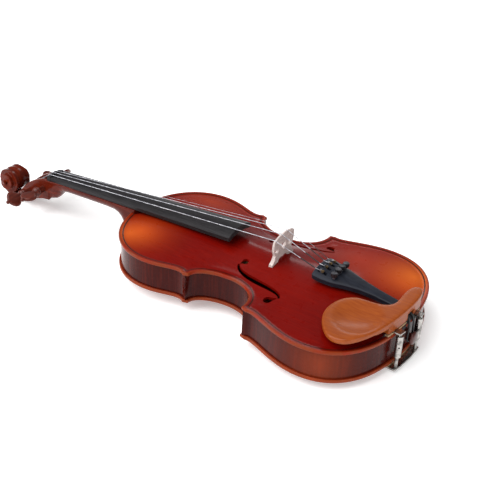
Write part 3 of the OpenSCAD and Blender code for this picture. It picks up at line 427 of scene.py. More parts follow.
def arch_w(x):
    ends = lambda u: np.maximum(0, 1 - np.clip(u, 0, 1) ** 2.2) ** (1 / 2.2)
    eased = lambda a, b, u: a + (b - a) * (0.5 - 0.5 * np.cos(np.pi * np.clip(u, 0, 1)))
    upper = (UPPER_W - MARGIN) * ends((UPPER_X - x) / (UPPER_X - MARGIN))
    lower = (LOWER_W - MARGIN) * ends((x - LOWER_X) / (BODY_L - MARGIN - LOWER_X))
    first = eased(UPPER_W - MARGIN, WAIST_W - MARGIN, (x - UPPER_X) / (WAIST_X - UPPER_X))
    second = eased(WAIST_W - MARGIN, LOWER_W - MARGIN, (x - WAIST_X) / (LOWER_X - WAIST_X))
    w = np.where(x < UPPER_X, upper, np.where(x < WAIST_X, first, np.where(x < LOWER_X, second, lower)))
    return np.maximum(w, 0.1)


def arch_z(x, y, low, high):
    u = np.abs((2 * x - BODY_L) / (BODY_L - 2 * MARGIN))
    across = np.minimum(np.abs(y) / arch_w(x), 1)
    return low + (high - low) * np.maximum(0, 1 - u ** 3) * (0.5 + 0.5 * np.cos(np.pi * across)) ** 0.65


# Rim attribute of a surface with no worn edge, and of the edge itself
FAR_FROM_EDGE, AT_EDGE = 20.0, 0.3
CHANNEL_DEPTH, CHANNEL_AT, CHANNEL_WIDTH = 0.75, 7.5, 3.4
BELLY_ARCH, BACK_ARCH = 15.5, 15.0
GRID_STEP = 3.6


def plate_z(xy, d, high):
    """Height of a plate's outer surface: raised edge, shallow channel, arch."""
    z = arch_z(xy[:, 0], xy[:, 1], EDGE_T, high)
    channel = CHANNEL_DEPTH * np.exp(-((d - CHANNEL_AT) / CHANNEL_WIDTH) ** 2)
    return z - channel


def plate(name, high, slot, replaces, holes=(), under=False):
    """One carved plate with a rounded overhanging edge. under puts it below the ribs."""
    outline = inward(whole_edge, 0.9, True)
    rings = [1.9, 3.0, 4.0, 4.7, 5.4, 6.4, 8.0, 10.0, 12.5]
    extra = []
    for d in rings:
        ring = inward(whole_edge, d, True)
        keep = inside(ring, whole_edge) & (to_edge(ring, whole_edge) > d * 0.985)
        extra.append(ring[keep])
    gx, gy = np.meshgrid(np.arange(4, BODY_L, GRID_STEP), np.arange(-106, 107, GRID_STEP))
    grid = np.stack([gx.ravel(), gy.ravel()], 1)
    grid = grid[inside(grid, whole_edge)]
    grid = grid[to_edge(grid, whole_edge) > 14.5]
    extra = np.vstack(extra + [grid])
    for h in holes:
        near = inside(extra, h) | (to_edge(extra, h) < 0.9)
        extra = extra[~near]
    loops = [outline] + list(holes)
    points, edges = [], []
    for loop in loops:
        k = len(points)
        points += [Vector(p) for p in loop]
        edges += [(k + i, k + (i + 1) % len(loop)) for i in range(len(loop))]
    points += [Vector(p) for p in extra]
    xy, _, tris, *_ = delaunay_2d_cdt(points, edges, [], 0, 1e-4)
    xy = np.array([tuple(p) for p in xy])
    tris = np.array([t for t in tris if len(t) == 3])
    middle = xy[tris].mean(1)
    keep = inside(middle, outline)
    for h in holes:
        keep &= ~inside(middle, h)
    tris = tris[keep]
    turned = np.cross(xy[tris[:, 1]] - xy[tris[:, 0]], xy[tris[:, 2]] - xy[tris[:, 0]]) < 0
    tris[turned] = tris[turned][:, ::-1]
    d = to_edge(xy, whole_edge)
    z = plate_z(xy, d, high)
    verts = [(x, y, h) for (x, y), h in zip(xy, z)]
    faces = [tuple(t) for t in tris]
    rim = list(d)
    # Inner surface
    k = len(verts)
    inner = np.maximum(np.where(d < MARGIN, 0, z - PLATE_T), 0)
    verts += [(x, y, h) for (x, y), h in zip(xy, inner)]
    faces += [tuple(t[::-1] + k) for t in tris]
    rim += [FAR_FROM_EDGE] * len(xy)
    # Rounded edge
    profile = [(0.9, EDGE_T), (0.35, 3.75), (0.06, 3.2), (0, 2.4), (0, 1.4), (0.1, 0.7), (0.45, 0.15), (0.9, 0)]
    n = len(whole_edge)
    k = len(verts)
    for off, h in profile:
        verts += [(x, y, h) for x, y in inward(whole_edge, off, True)]
        rim += [AT_EDGE] * n
    for i in range(len(profile) - 1):
        for j in range(n):
            a, b = k + i * n + j, k + i * n + (j + 1) % n
            faces.append((a, a + n, b + n, b))
    # Walls of the holes
    for h in holes:
        k = len(verts)
        top = plate_z(h, np.full(len(h), FAR_FROM_EDGE), high)
        verts += [(x, y, t) for (x, y), t in zip(h, top)]
        verts += [(x, y, t - PLATE_T) for (x, y), t in zip(h, top)]
        rim += [FAR_FROM_EDGE] * (2 * len(h))
        for j in range(len(h)):
            a, b = k + j, k + (j + 1) % len(h)
            faces.append((a, a + len(h), b + len(h), b))
    if under:
        verts = [(x, y, -RIB_H - h) for x, y, h in verts]
        faces = [f[::-1] for f in faces]
    piece(name, verts, faces, slot, replaces=replaces, sharp=50, rim=rim)


# Sound hole: a long italic f
HOLE_UPPER, HOLE_LOWER = np.array([168.0, 25.5]), np.array([222.0, 63.0])
HOLE_UPPER_R, HOLE_LOWER_R = 3.6, 4.8


def sound_hole():
    """Outline of the treble side's hole."""
    spine = bez((163.5, 31), (166, 46), (230, 43), (231, 57), 26)
    t = np.linspace(0, 1, len(spine))
    w = 1.0 + 2.3 * np.sin(np.pi * t) ** 1.2
    d = np.gradient(spine, axis=0)
    n = d[:, ::-1] * [-1, 1] / np.linalg.norm(d, axis=1)[:, None]
    left, right = spine + n * w[:, None], spine - n * w[:, None]

    def eye(centre, r, a0, a1, k=14):
        a = np.radians(np.linspace(a0, a1, k))
        return centre + r * np.stack([np.cos(a), np.sin(a)], 1)

    upper = eye(HOLE_UPPER, HOLE_UPPER_R, 100, -190)
    lower = eye(HOLE_LOWER, HOLE_LOWER_R, -75, -365)
    return np.vstack([right[::-1], upper[::-1], left, lower[::-1]])


hole = sound_hole()
HOLES = [hole, (hole * [1, -1])[::-1]]
plate("belly", BELLY_ARCH, "belly_varnish", ("top_plate", "purfling"), holes=HOLES)
plate("back", BACK_ARCH, "back_varnish", ("back_plate",), under=True)

# Button of the back, over the end of the heel
BACK_BUTTON_L, BACK_BUTTON_W = 12, 10.5
button_ring = [(-BACK_BUTTON_L * math.sin(a), BACK_BUTTON_W * math.cos(a)) for a in np.linspace(0, math.pi, 25)]
button_ring = [(6.0, BACK_BUTTON_W)] + button_ring + [(6.0, -BACK_BUTTON_W)]
rows = [(0.0, -RIB_H), (0.0, -RIB_H - 3.2), (0.8, -RIB_H - 4)]
pts, fcs = [], []
for shrink, z in rows:
    pts += [(x + (shrink if x < 0 else 0), y * (1 - shrink / BACK_BUTTON_W), z) for x, y in button_ring]
n = len(button_ring)
for i in range(len(rows) - 1):
    for j in range(n):
        a, b = i * n + j, i * n + (j + 1) % n
        fcs.append((a, b, b + n, a + n))
fcs += [tuple(range(n))[::-1], tuple(2 * n + j for j in range(n))]
piece("back_button", pts, fcs, "back_varnish", sharp=60, rim=[6.5] * len(pts))


# ---------------------------------------------------------------- ribs

def meet(a, b, spare=7.0):
    """Two curves, each run on past the corner, cut where they cross."""
    end, start = a[-1] - a[-2], b[0] - b[1]
    a = np.vstack([a, a[-1] + end / np.linalg.norm(end) * spare])
    b = np.vstack([b[0] + start / np.linalg.norm(start) * spare, b])
    for i in range(len(a) - 1, 0, -1):
        p, u = a[i - 1], a[i] - a[i - 1]
        for j in range(len(b) - 1):
            q, v = b[j], b[j + 1] - b[j]
            scale = u[0] * v[1] - u[1] * v[0]
            if abs(scale) < 1e-9:
                continue
            s = ((q - p)[0] * v[1] - (q - p)[1] * v[0]) / scale
            t = ((q - p)[0] * u[1] - (q - p)[1] * u[0]) / scale
            if 0 <= s <= 1 and 0 <= t <= 1:
                corner = p + u * s
                return np.vstack([a[:i], corner]), np.vstack([corner, b[j + 1:]])
    return a, b


def rib_curves(d):
    """The three curves of one side, at a distance inside the outline."""
    upper, middle = meet(inward(upper_edge, d), inward(middle_edge, d))
    middle, lower = meet(middle, inward(lower_edge, d))
    return dict(upper=upper, middle=middle, lower=lower)


RIB_FACES = (rib_curves(OVERHANG), rib_curves(OVERHANG + RIB_T))


def rib(which, side, word):
    parts = []
    for curves, flip in zip(RIB_FACES, (False, True)):
        c = curves[which] * [1, side]
        levels = np.linspace(-RIB_H, 0, 5)
        points = [(x, y, z) for z in levels for x, y in c]
        m = len(c)
        quads = [(i * m + j, i * m + j + 1, (i + 1) * m + j + 1, (i + 1) * m + j)
                 for i in range(len(levels) - 1) for j in range(m - 1)]
        if (side > 0) != flip:
            quads = [q[::-1] for q in quads]
        parts.append((points, quads))
    points, faces = joined(*parts)
    piece(f"{which}_rib_{word}", points, faces, "rib_varnish", replaces=(f"rib_{which}_{word}",), sharp=60)


for side, word in ((-1, "bass"), (1, "treble")):
    for which in ("upper", "middle", "lower"):
        rib(which, side, word)


# ---------------------------------------------------------------- neck, pegbox and scroll

NUT_X, NECK_Z, NECK_SLOPE = 130.0, 7.8, 0.1005


def board_z(x):
    return NECK_Z + NECK_SLOPE * x


NECK_STATIONS = [
    (-136.5, 27.0, 12.4, 3.0), (-133, 27.2, 12.4, 3.0), (-127, 25.5, 12.3, 2.8), (-122, 20.5, 12.2, 2.6),
    (-118, 15.4, 12.2, 2.4), (-113, 12.6, 12.3, 2.2), (-102, 12.0, 12.8, 2.2), (-70, 12.2, 14.2, 2.2),
    (-40, 12.8, 15.5, 2.2), (-28, 14.0, 15.9, 2.2), (-21, 18.0, 16.2, 2.2), (-16, 24.5, 16.4, 2.3),
    (-12.5, 32.0, 16.6, 2.5), (-10.5, 37.6, 16.7, 2.7), (0, 38.7, 17.0, 3.2), (6.5, 39.3, 17.0, 3.2)]


def signed_power(v, e):
    return math.copysign(abs(v) ** e, v)


def neck_ring(x, depth, w, square, n=24):
    e = 2 / square
    return [(x, w * signed_power(math.cos(a), e), board_z(x) - depth * abs(math.sin(a)) ** e)
            for a in np.linspace(math.pi, 0, n)]


xs = [s[0] for s in NECK_STATIONS]
fine = sorted(set(np.concatenate([np.linspace(a, b, 4) for a, b in zip(xs, xs[1:])]).round(3)))
stations = [[float(np.interp(x, xs, [s[k] for s in NECK_STATIONS])) for k in range(4)] for x in fine]
neck_part = loft_mesh([neck_ring(*s) for s in stations])

HEAD_N = 22
head_top = bez((-134, -5.8), (-155, -6.5), (-174, -22), (-189, -43), HEAD_N)
head_back = bez((-134, -32.4), (-152, -33.5), (-172, -49), (-201, -56), HEAD_N)
FLOOR = [(-187, -46.5), (-180.5, -43.9), (-168.5, -38.9), (-155, -32.5), (-137, -26.5)]


def head_parts():
    """Two side walls and the fluted floor of the pegbox."""
    walls, floor = {1: [], -1: []}, []
    for k in range(HEAD_N, -1, -1):
        (tx, tz), (bx, bz) = head_top[k], head_back[k]
        t = k / HEAD_N
        w = mix(12.4, 9.4, t)
        wi = w - 4.1
        fz = float(np.interp(mix(tx, bx, 0.6), [p[0] for p in FLOOR], [p[1] for p in FLOOR]))
        share = min(max((fz - bz) / (tz - bz), 0.15), 1)
        fx, fz = mix(bx, tx, share), mix(bz, tz, share)
        for s in (1, -1):
            ring = [(tx, s * w, tz), (tx, s * wi, tz), (bx, s * wi, bz + 0.4), (bx, s * w, bz)]
            walls[s].append(ring if s > 0 else ring[::-1])
        floor.append([(bx, w - 0.5, bz), (fx, w - 0.5, fz), (fx, -w + 0.5, fz), (bx, -w + 0.5, bz),
                      (bx, -w * 0.5, bz + 1.1), (bx, 0, bz + 0.1), (bx, w * 0.5, bz + 1.1)])
    return loft_mesh(walls[1]), loft_mesh(walls[-1]), loft_mesh(floor)


SCROLL = (-203.4, -32.2)
SCROLL_R = 21.5


def scroll_part():
    """The volute: a band that turns inwards while it widens, down to the eye."""
    rings = []
    turns, start = 2.6, math.radians(-78)
    for k in range(101):
        t = k / 100
        a = start - 2 * math.pi * turns * t
        r = SCROLL_R * (1 - t) ** 0.82 * 0.86 + 3.4 * t + SCROLL_R * 0.14 * (1 - min(t * 5, 1))
        r = max(r, 3.2)
        w = mix(6.6, 20.6, t ** 0.9)
        inner = max(r - 7.5, 0.2)
        flute = 1.3 * (1 - t)
        c, s = math.cos(a), math.sin(a)
        section = [(r, w), (r - flute, w * 0.52), (r, 0.0), (r - flute, -w * 0.52), (r, -w), (inner, -w), (inner, w)]
        rings.append([(SCROLL[0] + q * c, y, SCROLL[1] + q * s) for q, y in section])
    band = loft_mesh(rings)
    core = lathe_mesh([(-13, 5), (13, 5)], (SCROLL[0], 0, SCROLL[1]), (0, 1, 0), 24)
    return joined(band, core)


neck_points, neck_faces = joined(neck_part, *head_parts(), scroll_part())
neck = piece("neck_and_scroll", neck_points, neck_faces, "neck_varnish", replaces=("neck",), sharp=180)
remesh = neck.modifiers.new("one_surface", "REMESH")
remesh.mode = "VOXEL"
remesh.voxel_size = 0.0006
remesh.use_smooth_shade = True
soften = neck.modifiers.new("soften", "SMOOTH")
soften.factor = 0.5
soften.iterations = 4


# ---------------------------------------------------------------- fingerboard, nut, saddle

NUT_W, BOARD_W, BOARD_END, BOARD_R, BOARD_EDGE_T = 12.0, 21.2, 142.0, 42.0, 5.0


def board_half_w(x):
    return mix(NUT_W, BOARD_W, (x + NUT_X) / (BOARD_END + NUT_X))


def play_z(x, y):
    w = board_half_w(x)
    return board_z(x) + BOARD_EDGE_T + math.sqrt(BOARD_R ** 2 - y * y) - math.sqrt(BOARD_R ** 2 - w * w)


def board_ring(x):
    w = board_half_w(x)
    top = [(x, y, play_z(x, y)) for y in np.linspace(w, -w, 25)]
    hollow = 0.0 if x < 12 else 3.6 * min((x - 12) / 50, 1)
    low = board_z(x) + 0.05
    under = [(x, y, low + hollow * max(0, 1 - (y / (w - 3)) ** 2)) for y in np.linspace(-w + 0.8, w - 0.8, 13)]
    return top + under


rounded(piece("board", *loft_mesh([board_ring(x) for x in np.linspace(-NUT_X, BOARD_END, 30)]),
              "dark_wood", replaces=("fingerboard",)), 0.0004)

NUT_RISE, NUT_FALL, NUT_L = 1.3, 1.6, 6.0
nut_rings = []
for u in np.linspace(1, 0, 7):
    x = -NUT_X - 0.05 - NUT_L * u
    ring = [(x, y, play_z(-NUT_X, y) + NUT_RISE - NUT_FALL * u * u) for y in np.linspace(NUT_W, -NUT_W, 21)]
    nut_rings.append(ring + [(x, -NUT_W, board_z(x) + 0.05), (x, NUT_W, board_z(x) + 0.05)])
rounded(piece("nut_piece", *loft_mesh(nut_rings), "dark_wood", replaces=("nut",)), 0.0006, 3)

# Height of the saddle's middle along the body; its wings stay level with the belly's edge
SADDLE = ((348.6, 4.0), (349.4, 6.6), (350.6, 8.7), (352.0, 9.0),
          (353.5, 7.4), (354.3, 5.6), (354.8, 3.9), (354.9, 0.1))
SADDLE_W, WING_TOP = 17.0, 3.95
saddle_rings = []
for x, top in SADDLE:
    ring = []
    for y in np.linspace(SADDLE_W, -SADDLE_W, 35):
        rise = min(max((7.5 - abs(y)) / 2.5, 0), 1)
        wing = min(top, WING_TOP)
        ring.append((min(x, 354.9 - 0.0009 * y * y), y, wing + (top - wing) * rise * rise * (3 - 2 * rise)))
    saddle_rings.append(ring + [(ring[-1][0], -SADDLE_W, 0.05), (ring[0][0], SADDLE_W, 0.05)])
piece("saddle_piece", *loft_mesh(saddle_rings), "dark_wood", replaces=("saddle",), sharp=50)


# ---------------------------------------------------------------- bridge

BRIDGE_X, BRIDGE_Z, FOOT_W = 196.7, 48.0, 20.8


def bridge_arc(y):
    return BRIDGE_Z - (BOARD_R - math.sqrt(BOARD_R ** 2 - y * y)) - 0.4


def bridge():
    arc = [(y, bridge_arc(y)) for y in np.linspace(0, 18.6, 9)]
    flank = bez((18.6, bridge_arc(18.6)), (20.8, 34), (17, 27), (15.2, 24.5), 8)[1:]
    leg = bez((15.2, 24.5), (16.8, 19), (17.5, 17), (FOOT_W, 15.6), 8)[1:]
    arch = bez((9.6, 15.8), (9.3, 18.6), (4.5, 19.4), (0, 19.4), 8)
    half = [*arc, *map(tuple, flank), *map(tuple, leg)]
    foot_low = lambda y: float(arch_z(np.array(BRIDGE_X), np.array(y), EDGE_T, BELLY_ARCH))
    half += [(y, foot_low(y) + 0.1) for y in (FOOT_W, 17, 13.5, 9.6)]
    half += [tuple(p) for p in arch]
    outline = half + [(-y, z) for y, z in half[-2:0:-1]]
    heart = [(0, 26.2), (2.2, 29), (4.6, 31.4), (5.0, 33.6), (3.6, 35.6), (1.4, 35.4), (0, 33.8)]
    heart = heart + [(-y, z) for y, z in heart[-2:0:-1]]
    kidney = [(9.4, 29.6), (10.6, 31.6), (13.0, 31.9), (15.0, 31.2), (17.4, 32.6), (18.4, 31.6), (17.2, 29.4),
              (15.0, 28.6), (13.4, 26.8), (11.2, 26.6), (9.6, 27.8)]
    holes = [heart, kidney, [(-y, z) for y, z in kidney[::-1]]]
    loops = [outline] + holes
    points, edges = [], []
    for loop in loops:
        k = len(points)
        points += [Vector(p) for p in loop]
        edges += [(k + i, k + (i + 1) % len(loop)) for i in range(len(loop))]
    grid = np.array([(y, z) for y in np.arange(-20, 21, 2.5) for z in np.arange(16, 46, 2.5)])
    clear = inside(grid, np.array(outline))
    for loop in loops:
        clear &= to_edge(grid, np.array(loop)) > 0.9
    points += [Vector(p) for p in grid[clear]]
    yz, _, tris, *_ = delaunay_2d_cdt(points, edges, [], 0, 1e-4)
    yz = np.array([tuple(p) for p in yz])
    tris = np.array([t for t in tris if len(t) == 3])
    middle = yz[tris].mean(1)
    keep = inside(middle, np.array(outline))
    for h in holes:
        keep &= ~inside(middle, np.array(h))
    tris = tris[keep]
    turned = np.cross(yz[tris[:, 1]] - yz[tris[:, 0]], yz[tris[:, 2]] - yz[tris[:, 0]]) < 0
    tris[turned] = tris[turned][:, ::-1]
    thick = lambda z: mix(4.4, 1.6, min(max((z - 13) / (BRIDGE_Z - 13), 0), 1))
    tail = [(BRIDGE_X + 2.2, y, z) for y, z in yz]
    front = [(BRIDGE_X + 2.2 - thick(z), y, z) for y, z in yz]
    k = len(yz)
    faces = [tuple(t) for t in tris] + [tuple(t[::-1] + k) for t in tris]
    start = 0
    for i, loop in enumerate(loops):
        m = len(loop)
        for j in range(m):
            a, b = start + j, start + (j + 1) % m
            faces.append((b, a, a + k, b + k))
        start += m
    return tail + front, faces


b = piece("bridge_piece", *bridge(), "bridge_wood", replaces=("bridge",), sharp=40)
rounded(b, 0.0003, 2, 50)


# ---------------------------------------------------------------- pegs

PEGS = dict(g=(-143, -19.5, -1), d=(-168.5, -32.5, -1), a=(-180.5, -38.8, 1), e=(-155.5, -24.5, 1))
PEG_TURN = dict(g=0, d=-40, a=40, e=-50)
SHANK = [(-12.5, 3.4), (-12, 3.42), (12, 3.88), (19.5, 4.3), (20.4, 5.1), (21.4, 5.6), (22.2, 5.2), (22.6, 4.9),
         (23.2, 5.7), (24.2, 6.1), (25.1, 5.7), (25.7, 4.4), (27, 3.6)]
# Along the axis from the collar, half width, half thickness
THUMB = [(25.5, 3.6, 3.6), (27.0, 3.5, 3.3), (28.5, 4.4, 3.1), (30.0, 6.3, 3.0), (32.0, 8.6, 2.9), (34.5, 10.2, 2.8),
         (37.0, 10.6, 2.8), (39.5, 10.2, 2.8), (42.0, 8.9, 2.7), (44.0, 6.7, 2.5), (45.4, 4.2, 2.3), (46.0, 2.4, 2.0)]
PIP = [(45.2, 1.6), (46.0, 2.0), (46.6, 2.3), (47.6, 2.4), (48.8, 2.0), (49.6, 1.1), (49.9, 0.3)]
WINDING_Y = dict(g=-4.6, d=-2.4, a=2.2, e=3.4)
STRING_R = dict(g=0.4, d=0.4, a=0.34, e=0.15)
WINDING_R = 4.5

for n in NAMES:
    x, z, side = PEGS[n]
    out = (0, side, 0)
    turn = math.radians(PEG_TURN[n])
    wide = Vector((math.cos(turn), 0, math.sin(turn) * -side))
    thin = Vector(out).cross(wide)
    rings = []
    for along, w, t in THUMB:
        rings.append([Vector((x, 0, z)) + Vector(out) * along + wide * (w * math.cos(q))
                      + thin * (t * signed_power(math.sin(q), 0.8)) for q in np.linspace(0, 2 * math.pi, 33)[:-1]])
    parts = [lathe_mesh(SHANK, (x, 0, z), out, 40), loft_mesh(rings), lathe_mesh(PIP, (x, 0, z), out, 24)]
    piece(f"peg_{n}_turned", *joined(*parts), "peg_wood", f"peg_{n}", replaces=(f"peg_{n}",), sharp=50)
    r = max(STRING_R[n], 0.25)
    coils = int(3.6 / (2 * r))
    path = [(x + (WINDING_R - r) * math.sin(q), WINDING_Y[n] - 1.8 + 3.6 * q / (2 * math.pi * coils),
             z + (WINDING_R - r) * math.cos(q)) for q in np.linspace(0, 2 * math.pi * coils, coils * 20 + 1)]
    piece(f"coil_{n}", *tube_mesh(path, r, 6), "string_metal", f"peg_{n}", replaces=(f"winding_{n}",), sharp=60)


# ---------------------------------------------------------------- strings

NUT_PITCH, BRIDGE_PITCH, TAIL_PITCH = 5.5, 11.3, 8.0
TAIL_X, TAIL_CROWN, TAIL_ARC = (246.0, 343.0), (29.5, 18.0), (46.0, 18.0)
RIDGE_X = 247.0


def tail_top(x, y):
    t = (x - TAIL_X[0]) / (TAIL_X[1] - TAIL_X[0])
    r = mix(*TAIL_ARC, t)
    return mix(*TAIL_CROWN, t) - (r - math.sqrt(r * r - y * y))


for n in NAMES:
    s, r = STRING_SIDE[n], STRING_R[n]
    px, pz, _ = PEGS[n]
    yn, yb, yt = s * NUT_PITCH, s * BRIDGE_PITCH, s * TAIL_PITCH
    nut_z = play_z(-NUT_X, yn) + NUT_RISE
    fork_z = tail_top(RIDGE_X, yt) + r - 0.2
    path = [(px, WINDING_Y[n], pz + WINDING_R + r + 0.05),
            (-NUT_X - NUT_L, yn, nut_z - NUT_FALL + r), (-NUT_X - 3, yn, nut_z - 0.35 + r), (-NUT_X, yn, nut_z + r),
            (BRIDGE_X + 0.6, yb, bridge_arc(yb) + r), (BRIDGE_X + 2, yb, bridge_arc(yb) + r - 0.15),
            (RIDGE_X, yt, tail_top(RIDGE_X, yt) + r + 0.1), (251.0, yt, fork_z)]
    piece(f"string_{n}_run", *tube_mesh(path, r, 10), "string_metal", replaces=(f"string_{n}",), sharp=60)
    # Wrapped ends of coloured thread show where each string is made fast
    wrap = [mix(Vector(path[5]), Vector(path[6]), t) for t in (0.62, 0.8, 0.98)]
    piece(f"string_{n}_wrap", *tube_mesh(wrap, r + 0.22, 10), "gut_cord", sharp=60)


# ---------------------------------------------------------------- tailpiece

TAIL_WIDTHS = [(246, 19.2), (249, 19.8), (258, 19.2), (270, 17), (283, 12.8), (298, 8.8), (314, 6.6), (330, 6),
               (343, 5.6)]


def tail_half_w(x):
    return float(np.interp(x, [w[0] for w in TAIL_WIDTHS], [w[1] for w in TAIL_WIDTHS]))


def tail_ring(x, w, drop=0.0, thick=5.5):
    top = [(x, y, tail_top(x, y) - drop - 0.5 * (abs(y) / w) ** 10) for y in np.linspace(w, -w, 25)]
    low = tail_top(x, w) - thick
    under = [(x, y, low + (0.9 if abs(y) < w - 2.4 else 0)) for y in np.linspace(-w + 0.6, w - 0.6, 9)]
    return top + under


tail_rings = [tail_ring(246.0, 18.4, 0.9), tail_ring(246.6, 19.0, 0.25)]
tail_rings += [tail_ring(x, tail_half_w(x)) for x in np.linspace(247.5, 341.5, 46)]
tail_rings += [tail_ring(342.5, 5.2, 0.3), tail_ring(343.0, 4.6, 0.9)]
tail = piece("tail_board", *loft_mesh(tail_rings), "tailpiece_black", replaces=("tailpiece",), sharp=40)


def cutter(name, low, high):
    """A box that is cut from the tailpiece and never shown."""
    corners = [(x, y, z) for x in (low[0], high[0]) for y in (low[1], high[1]) for z in (low[2], high[2])]
    mesh = bpy.data.meshes.new(name)
    mesh.from_pydata([LYING @ Vector(c) for c in corners], [], [
        (0, 1, 3, 2), (4, 6, 7, 5), (0, 4, 5, 1), (2, 3, 7, 6), (0, 2, 6, 4), (1, 5, 7, 3)])
    return mesh


def cut(obj, boxes):
    """Cuts boxes out of a piece, and keeps the result as its mesh."""
    for low, high in boxes:
        tool = bpy.data.objects.new("tool", cutter("tool", low, high))
        bpy.context.scene.collection.objects.link(tool)
        m = obj.modifiers.new("cut", "BOOLEAN")
        m.operation = "DIFFERENCE"
        m.solver = "EXACT"
        m.object = tool
        bpy.context.view_layer.update()
        done = bpy.data.meshes.new_from_object(obj.evaluated_get(bpy.context.evaluated_depsgraph_get()))
        obj.modifiers.clear()
        obj.data = done
        bpy.data.objects.remove(tool)
    obj.data.shade_smooth()
    obj.data.set_sharp_from_angle(angle=math.radians(40))


boxes = [((249.8, -14.4, 8), (274, 14.4, 21.6))]
for n in NAMES:
    y = STRING_SIDE[n] * TAIL_PITCH
    boxes.append(((249.8, y - 1.7, 8), (260.3, y + 1.7, 40)))
cut(tail, boxes)


# ---------------------------------------------------------------- tailgut and end button

BUTTON_Z, BUTTON_FACE, GUT_R = -15.5, 352.5, 1.1
gut_side = [(334, 3.6, 14.6), (341, 3.6, 14.5), (345, 3.6, 14.1), (349.5, 3.8, 10.6), (351.5, 3.9, 10.15),
            (353.4, 4.0, 9.2), (355.4, 4.2, 6.5), (356.6, 4.9, 0), (356.7, 5.35, -8)]
loop = [(356.7, 5.35 * math.cos(a), BUTTON_Z + 5.35 * math.sin(a)) for a in np.linspace(0, -math.pi, 13)]
gut = gut_side + loop + [(x, -y, z) for x, y, z in reversed(gut_side)]
piece("gut", *tube_mesh(smooth_path(gut, 4), GUT_R, 12), "gut_cord", replaces=("tailgut",), sharp=60)
KNOB = [(-14, 3.5), (0, 3.9), (0.05, 7.1), (0.3, 7.5), (1.0, 7.5), (1.5, 7.1), (2.2, 4.6), (3.0, 4.2), (5.6, 4.2),
        (6.4, 4.9), (7.3, 6.7), (7.9, 7.4), (8.5, 7.5), (9.5, 7.2), (10.4, 6.2), (10.9, 4.4), (11.15, 2.0),
        (11.2, 0.3)]
piece("tail_button", *lathe_mesh(KNOB, (BUTTON_FACE, 0, BUTTON_Z), (1, 0, 0), 48), "button_wood",
      replaces=("end_button",), sharp=50)


# ---------------------------------------------------------------- chin rest

REST_Z, REST_FALL, REST_HIGH = 25.0, (0.0687, 0.0612), (355.0, -10.0)
CUP_R, CUP_MIDDLE, CUP_DEPTH, PLATE_UNDER = 95.0, (313.0, -55.0), 3.4, 6.0
rest_edge = np.vstack([
    bez((284.5, -48), (285, -34), (291, -24), (302, -19.5), 12)[:-1],
    bez((302, -19.5), (315, -17), (339, -22), (339.5, -3), 16)[:-1],
    bez((339.5, -3), (339, 10), (336.5, 28.5), (348, 28.5), 14)[:-1],
    bez((348, 28.5), (355.5, 28.5), (356, 12), (355.8, 2), 10)[:-1],
    bez((355.8, 2), (355, -25), (350, -60), (334, -81), 20)[:-1],
    bez((334, -81), (326, -92), (314, -93), (304, -85), 12)[:-1],
    bez((304, -85), (293, -76), (284, -62), (284.5, -48), 14)[:-1]])


def rest_top(x, y):
    return REST_Z + REST_FALL[0] * (x - REST_HIGH[0]) + REST_FALL[1] * (y - REST_HIGH[1])


CUP_TOP = rest_top(*CUP_MIDDLE) + CUP_R - CUP_DEPTH


def chin_rest():
    """Plate with a dished cup and a rounded rim all round."""
    x, y = rest_edge.T
    area = 0.5 * np.sum(x * np.roll(y, -1) - y * np.roll(x, -1))
    edge = rest_edge if area < 0 else rest_edge[::-1]
    top_row = inward(edge, 1.6, True)
    rings = [inward(edge, d, True) for d in (2.8, 4.4, 6.4)]
    extra = []
    for d, ring in zip((2.8, 4.4, 6.4), rings):
        keep = inside(ring, edge) & (to_edge(ring, edge) > d * 0.97)
        extra.append(ring[keep])
    gx, gy = np.meshgrid(np.arange(286, 356, 2.2), np.arange(-92, 30, 2.2))
    grid = np.stack([gx.ravel(), gy.ravel()], 1)
    grid = grid[inside(grid, edge)]
    grid = grid[to_edge(grid, edge) > 7.4]
    points = [Vector(p) for p in np.vstack([top_row] + extra + [grid])]
    edges = [(i, (i + 1) % len(top_row)) for i in range(len(top_row))]
    xy, _, tris, *_ = delaunay_2d_cdt(points, edges, [], 0, 1e-4)
    xy = np.array([tuple(p) for p in xy])
    tris = np.array([t for t in tris if len(t) == 3])
    tris = tris[inside(xy[tris].mean(1), top_row)]
    turned = np.cross(xy[tris[:, 1]] - xy[tris[:, 0]], xy[tris[:, 2]] - xy[tris[:, 0]]) < 0
    tris[turned] = tris[turned][:, ::-1]

    def top(p):
        plane = rest_top(p[:, 0], p[:, 1])
        q = ((p - CUP_MIDDLE) ** 2).sum(1)
        dish = CUP_TOP - np.sqrt(CUP_R ** 2 - q)
        # A soft change from the flat rim into the dish
        k = 0.9
        h = np.clip(0.5 + 0.5 * (plane - dish) / k, 0, 1)
        return mix(plane, dish, h) - k * h * (1 - h)

    d = to_edge(xy, edge)
    z = top(xy) - 0.25 * np.exp(-(d - 1.6) / 1.2)
    verts = [(x, y, h) for (x, y), h in zip(xy, z)]
    faces = [tuple(t) for t in tris]
    k = len(verts)
    profile = [(1.6, 0.25), (0.8, 0.55), (0.25, 1.15), (0, 2.0), (0, 4.6), (0.3, 5.4), (1.0, 5.9), (1.8, PLATE_UNDER)]
    n = len(edge)
    for off, drop in profile:
        row = inward(edge, off, True)
        base = top(row) if drop < 1 else rest_top(row[:, 0], row[:, 1])
        verts += [(x, y, b - drop) for (x, y), b in zip(row, base)]
    for i in range(len(profile) - 1):
        for j in range(n):
            a, c = k + i * n + j, k + i * n + (j + 1) % n
            faces.append((a, a + n, c + n, c))
    k2 = len(verts)
    verts += [(x, y, rest_top(x, y) - PLATE_UNDER) for x, y in xy]
    faces += [tuple(t[::-1] + k2) for t in tris]
    return verts, faces


end_curve = lower_edge[24:]


def end_x(y):
    return float(np.interp(abs(y), end_curve[::-1, 1], end_curve[::-1, 0]))


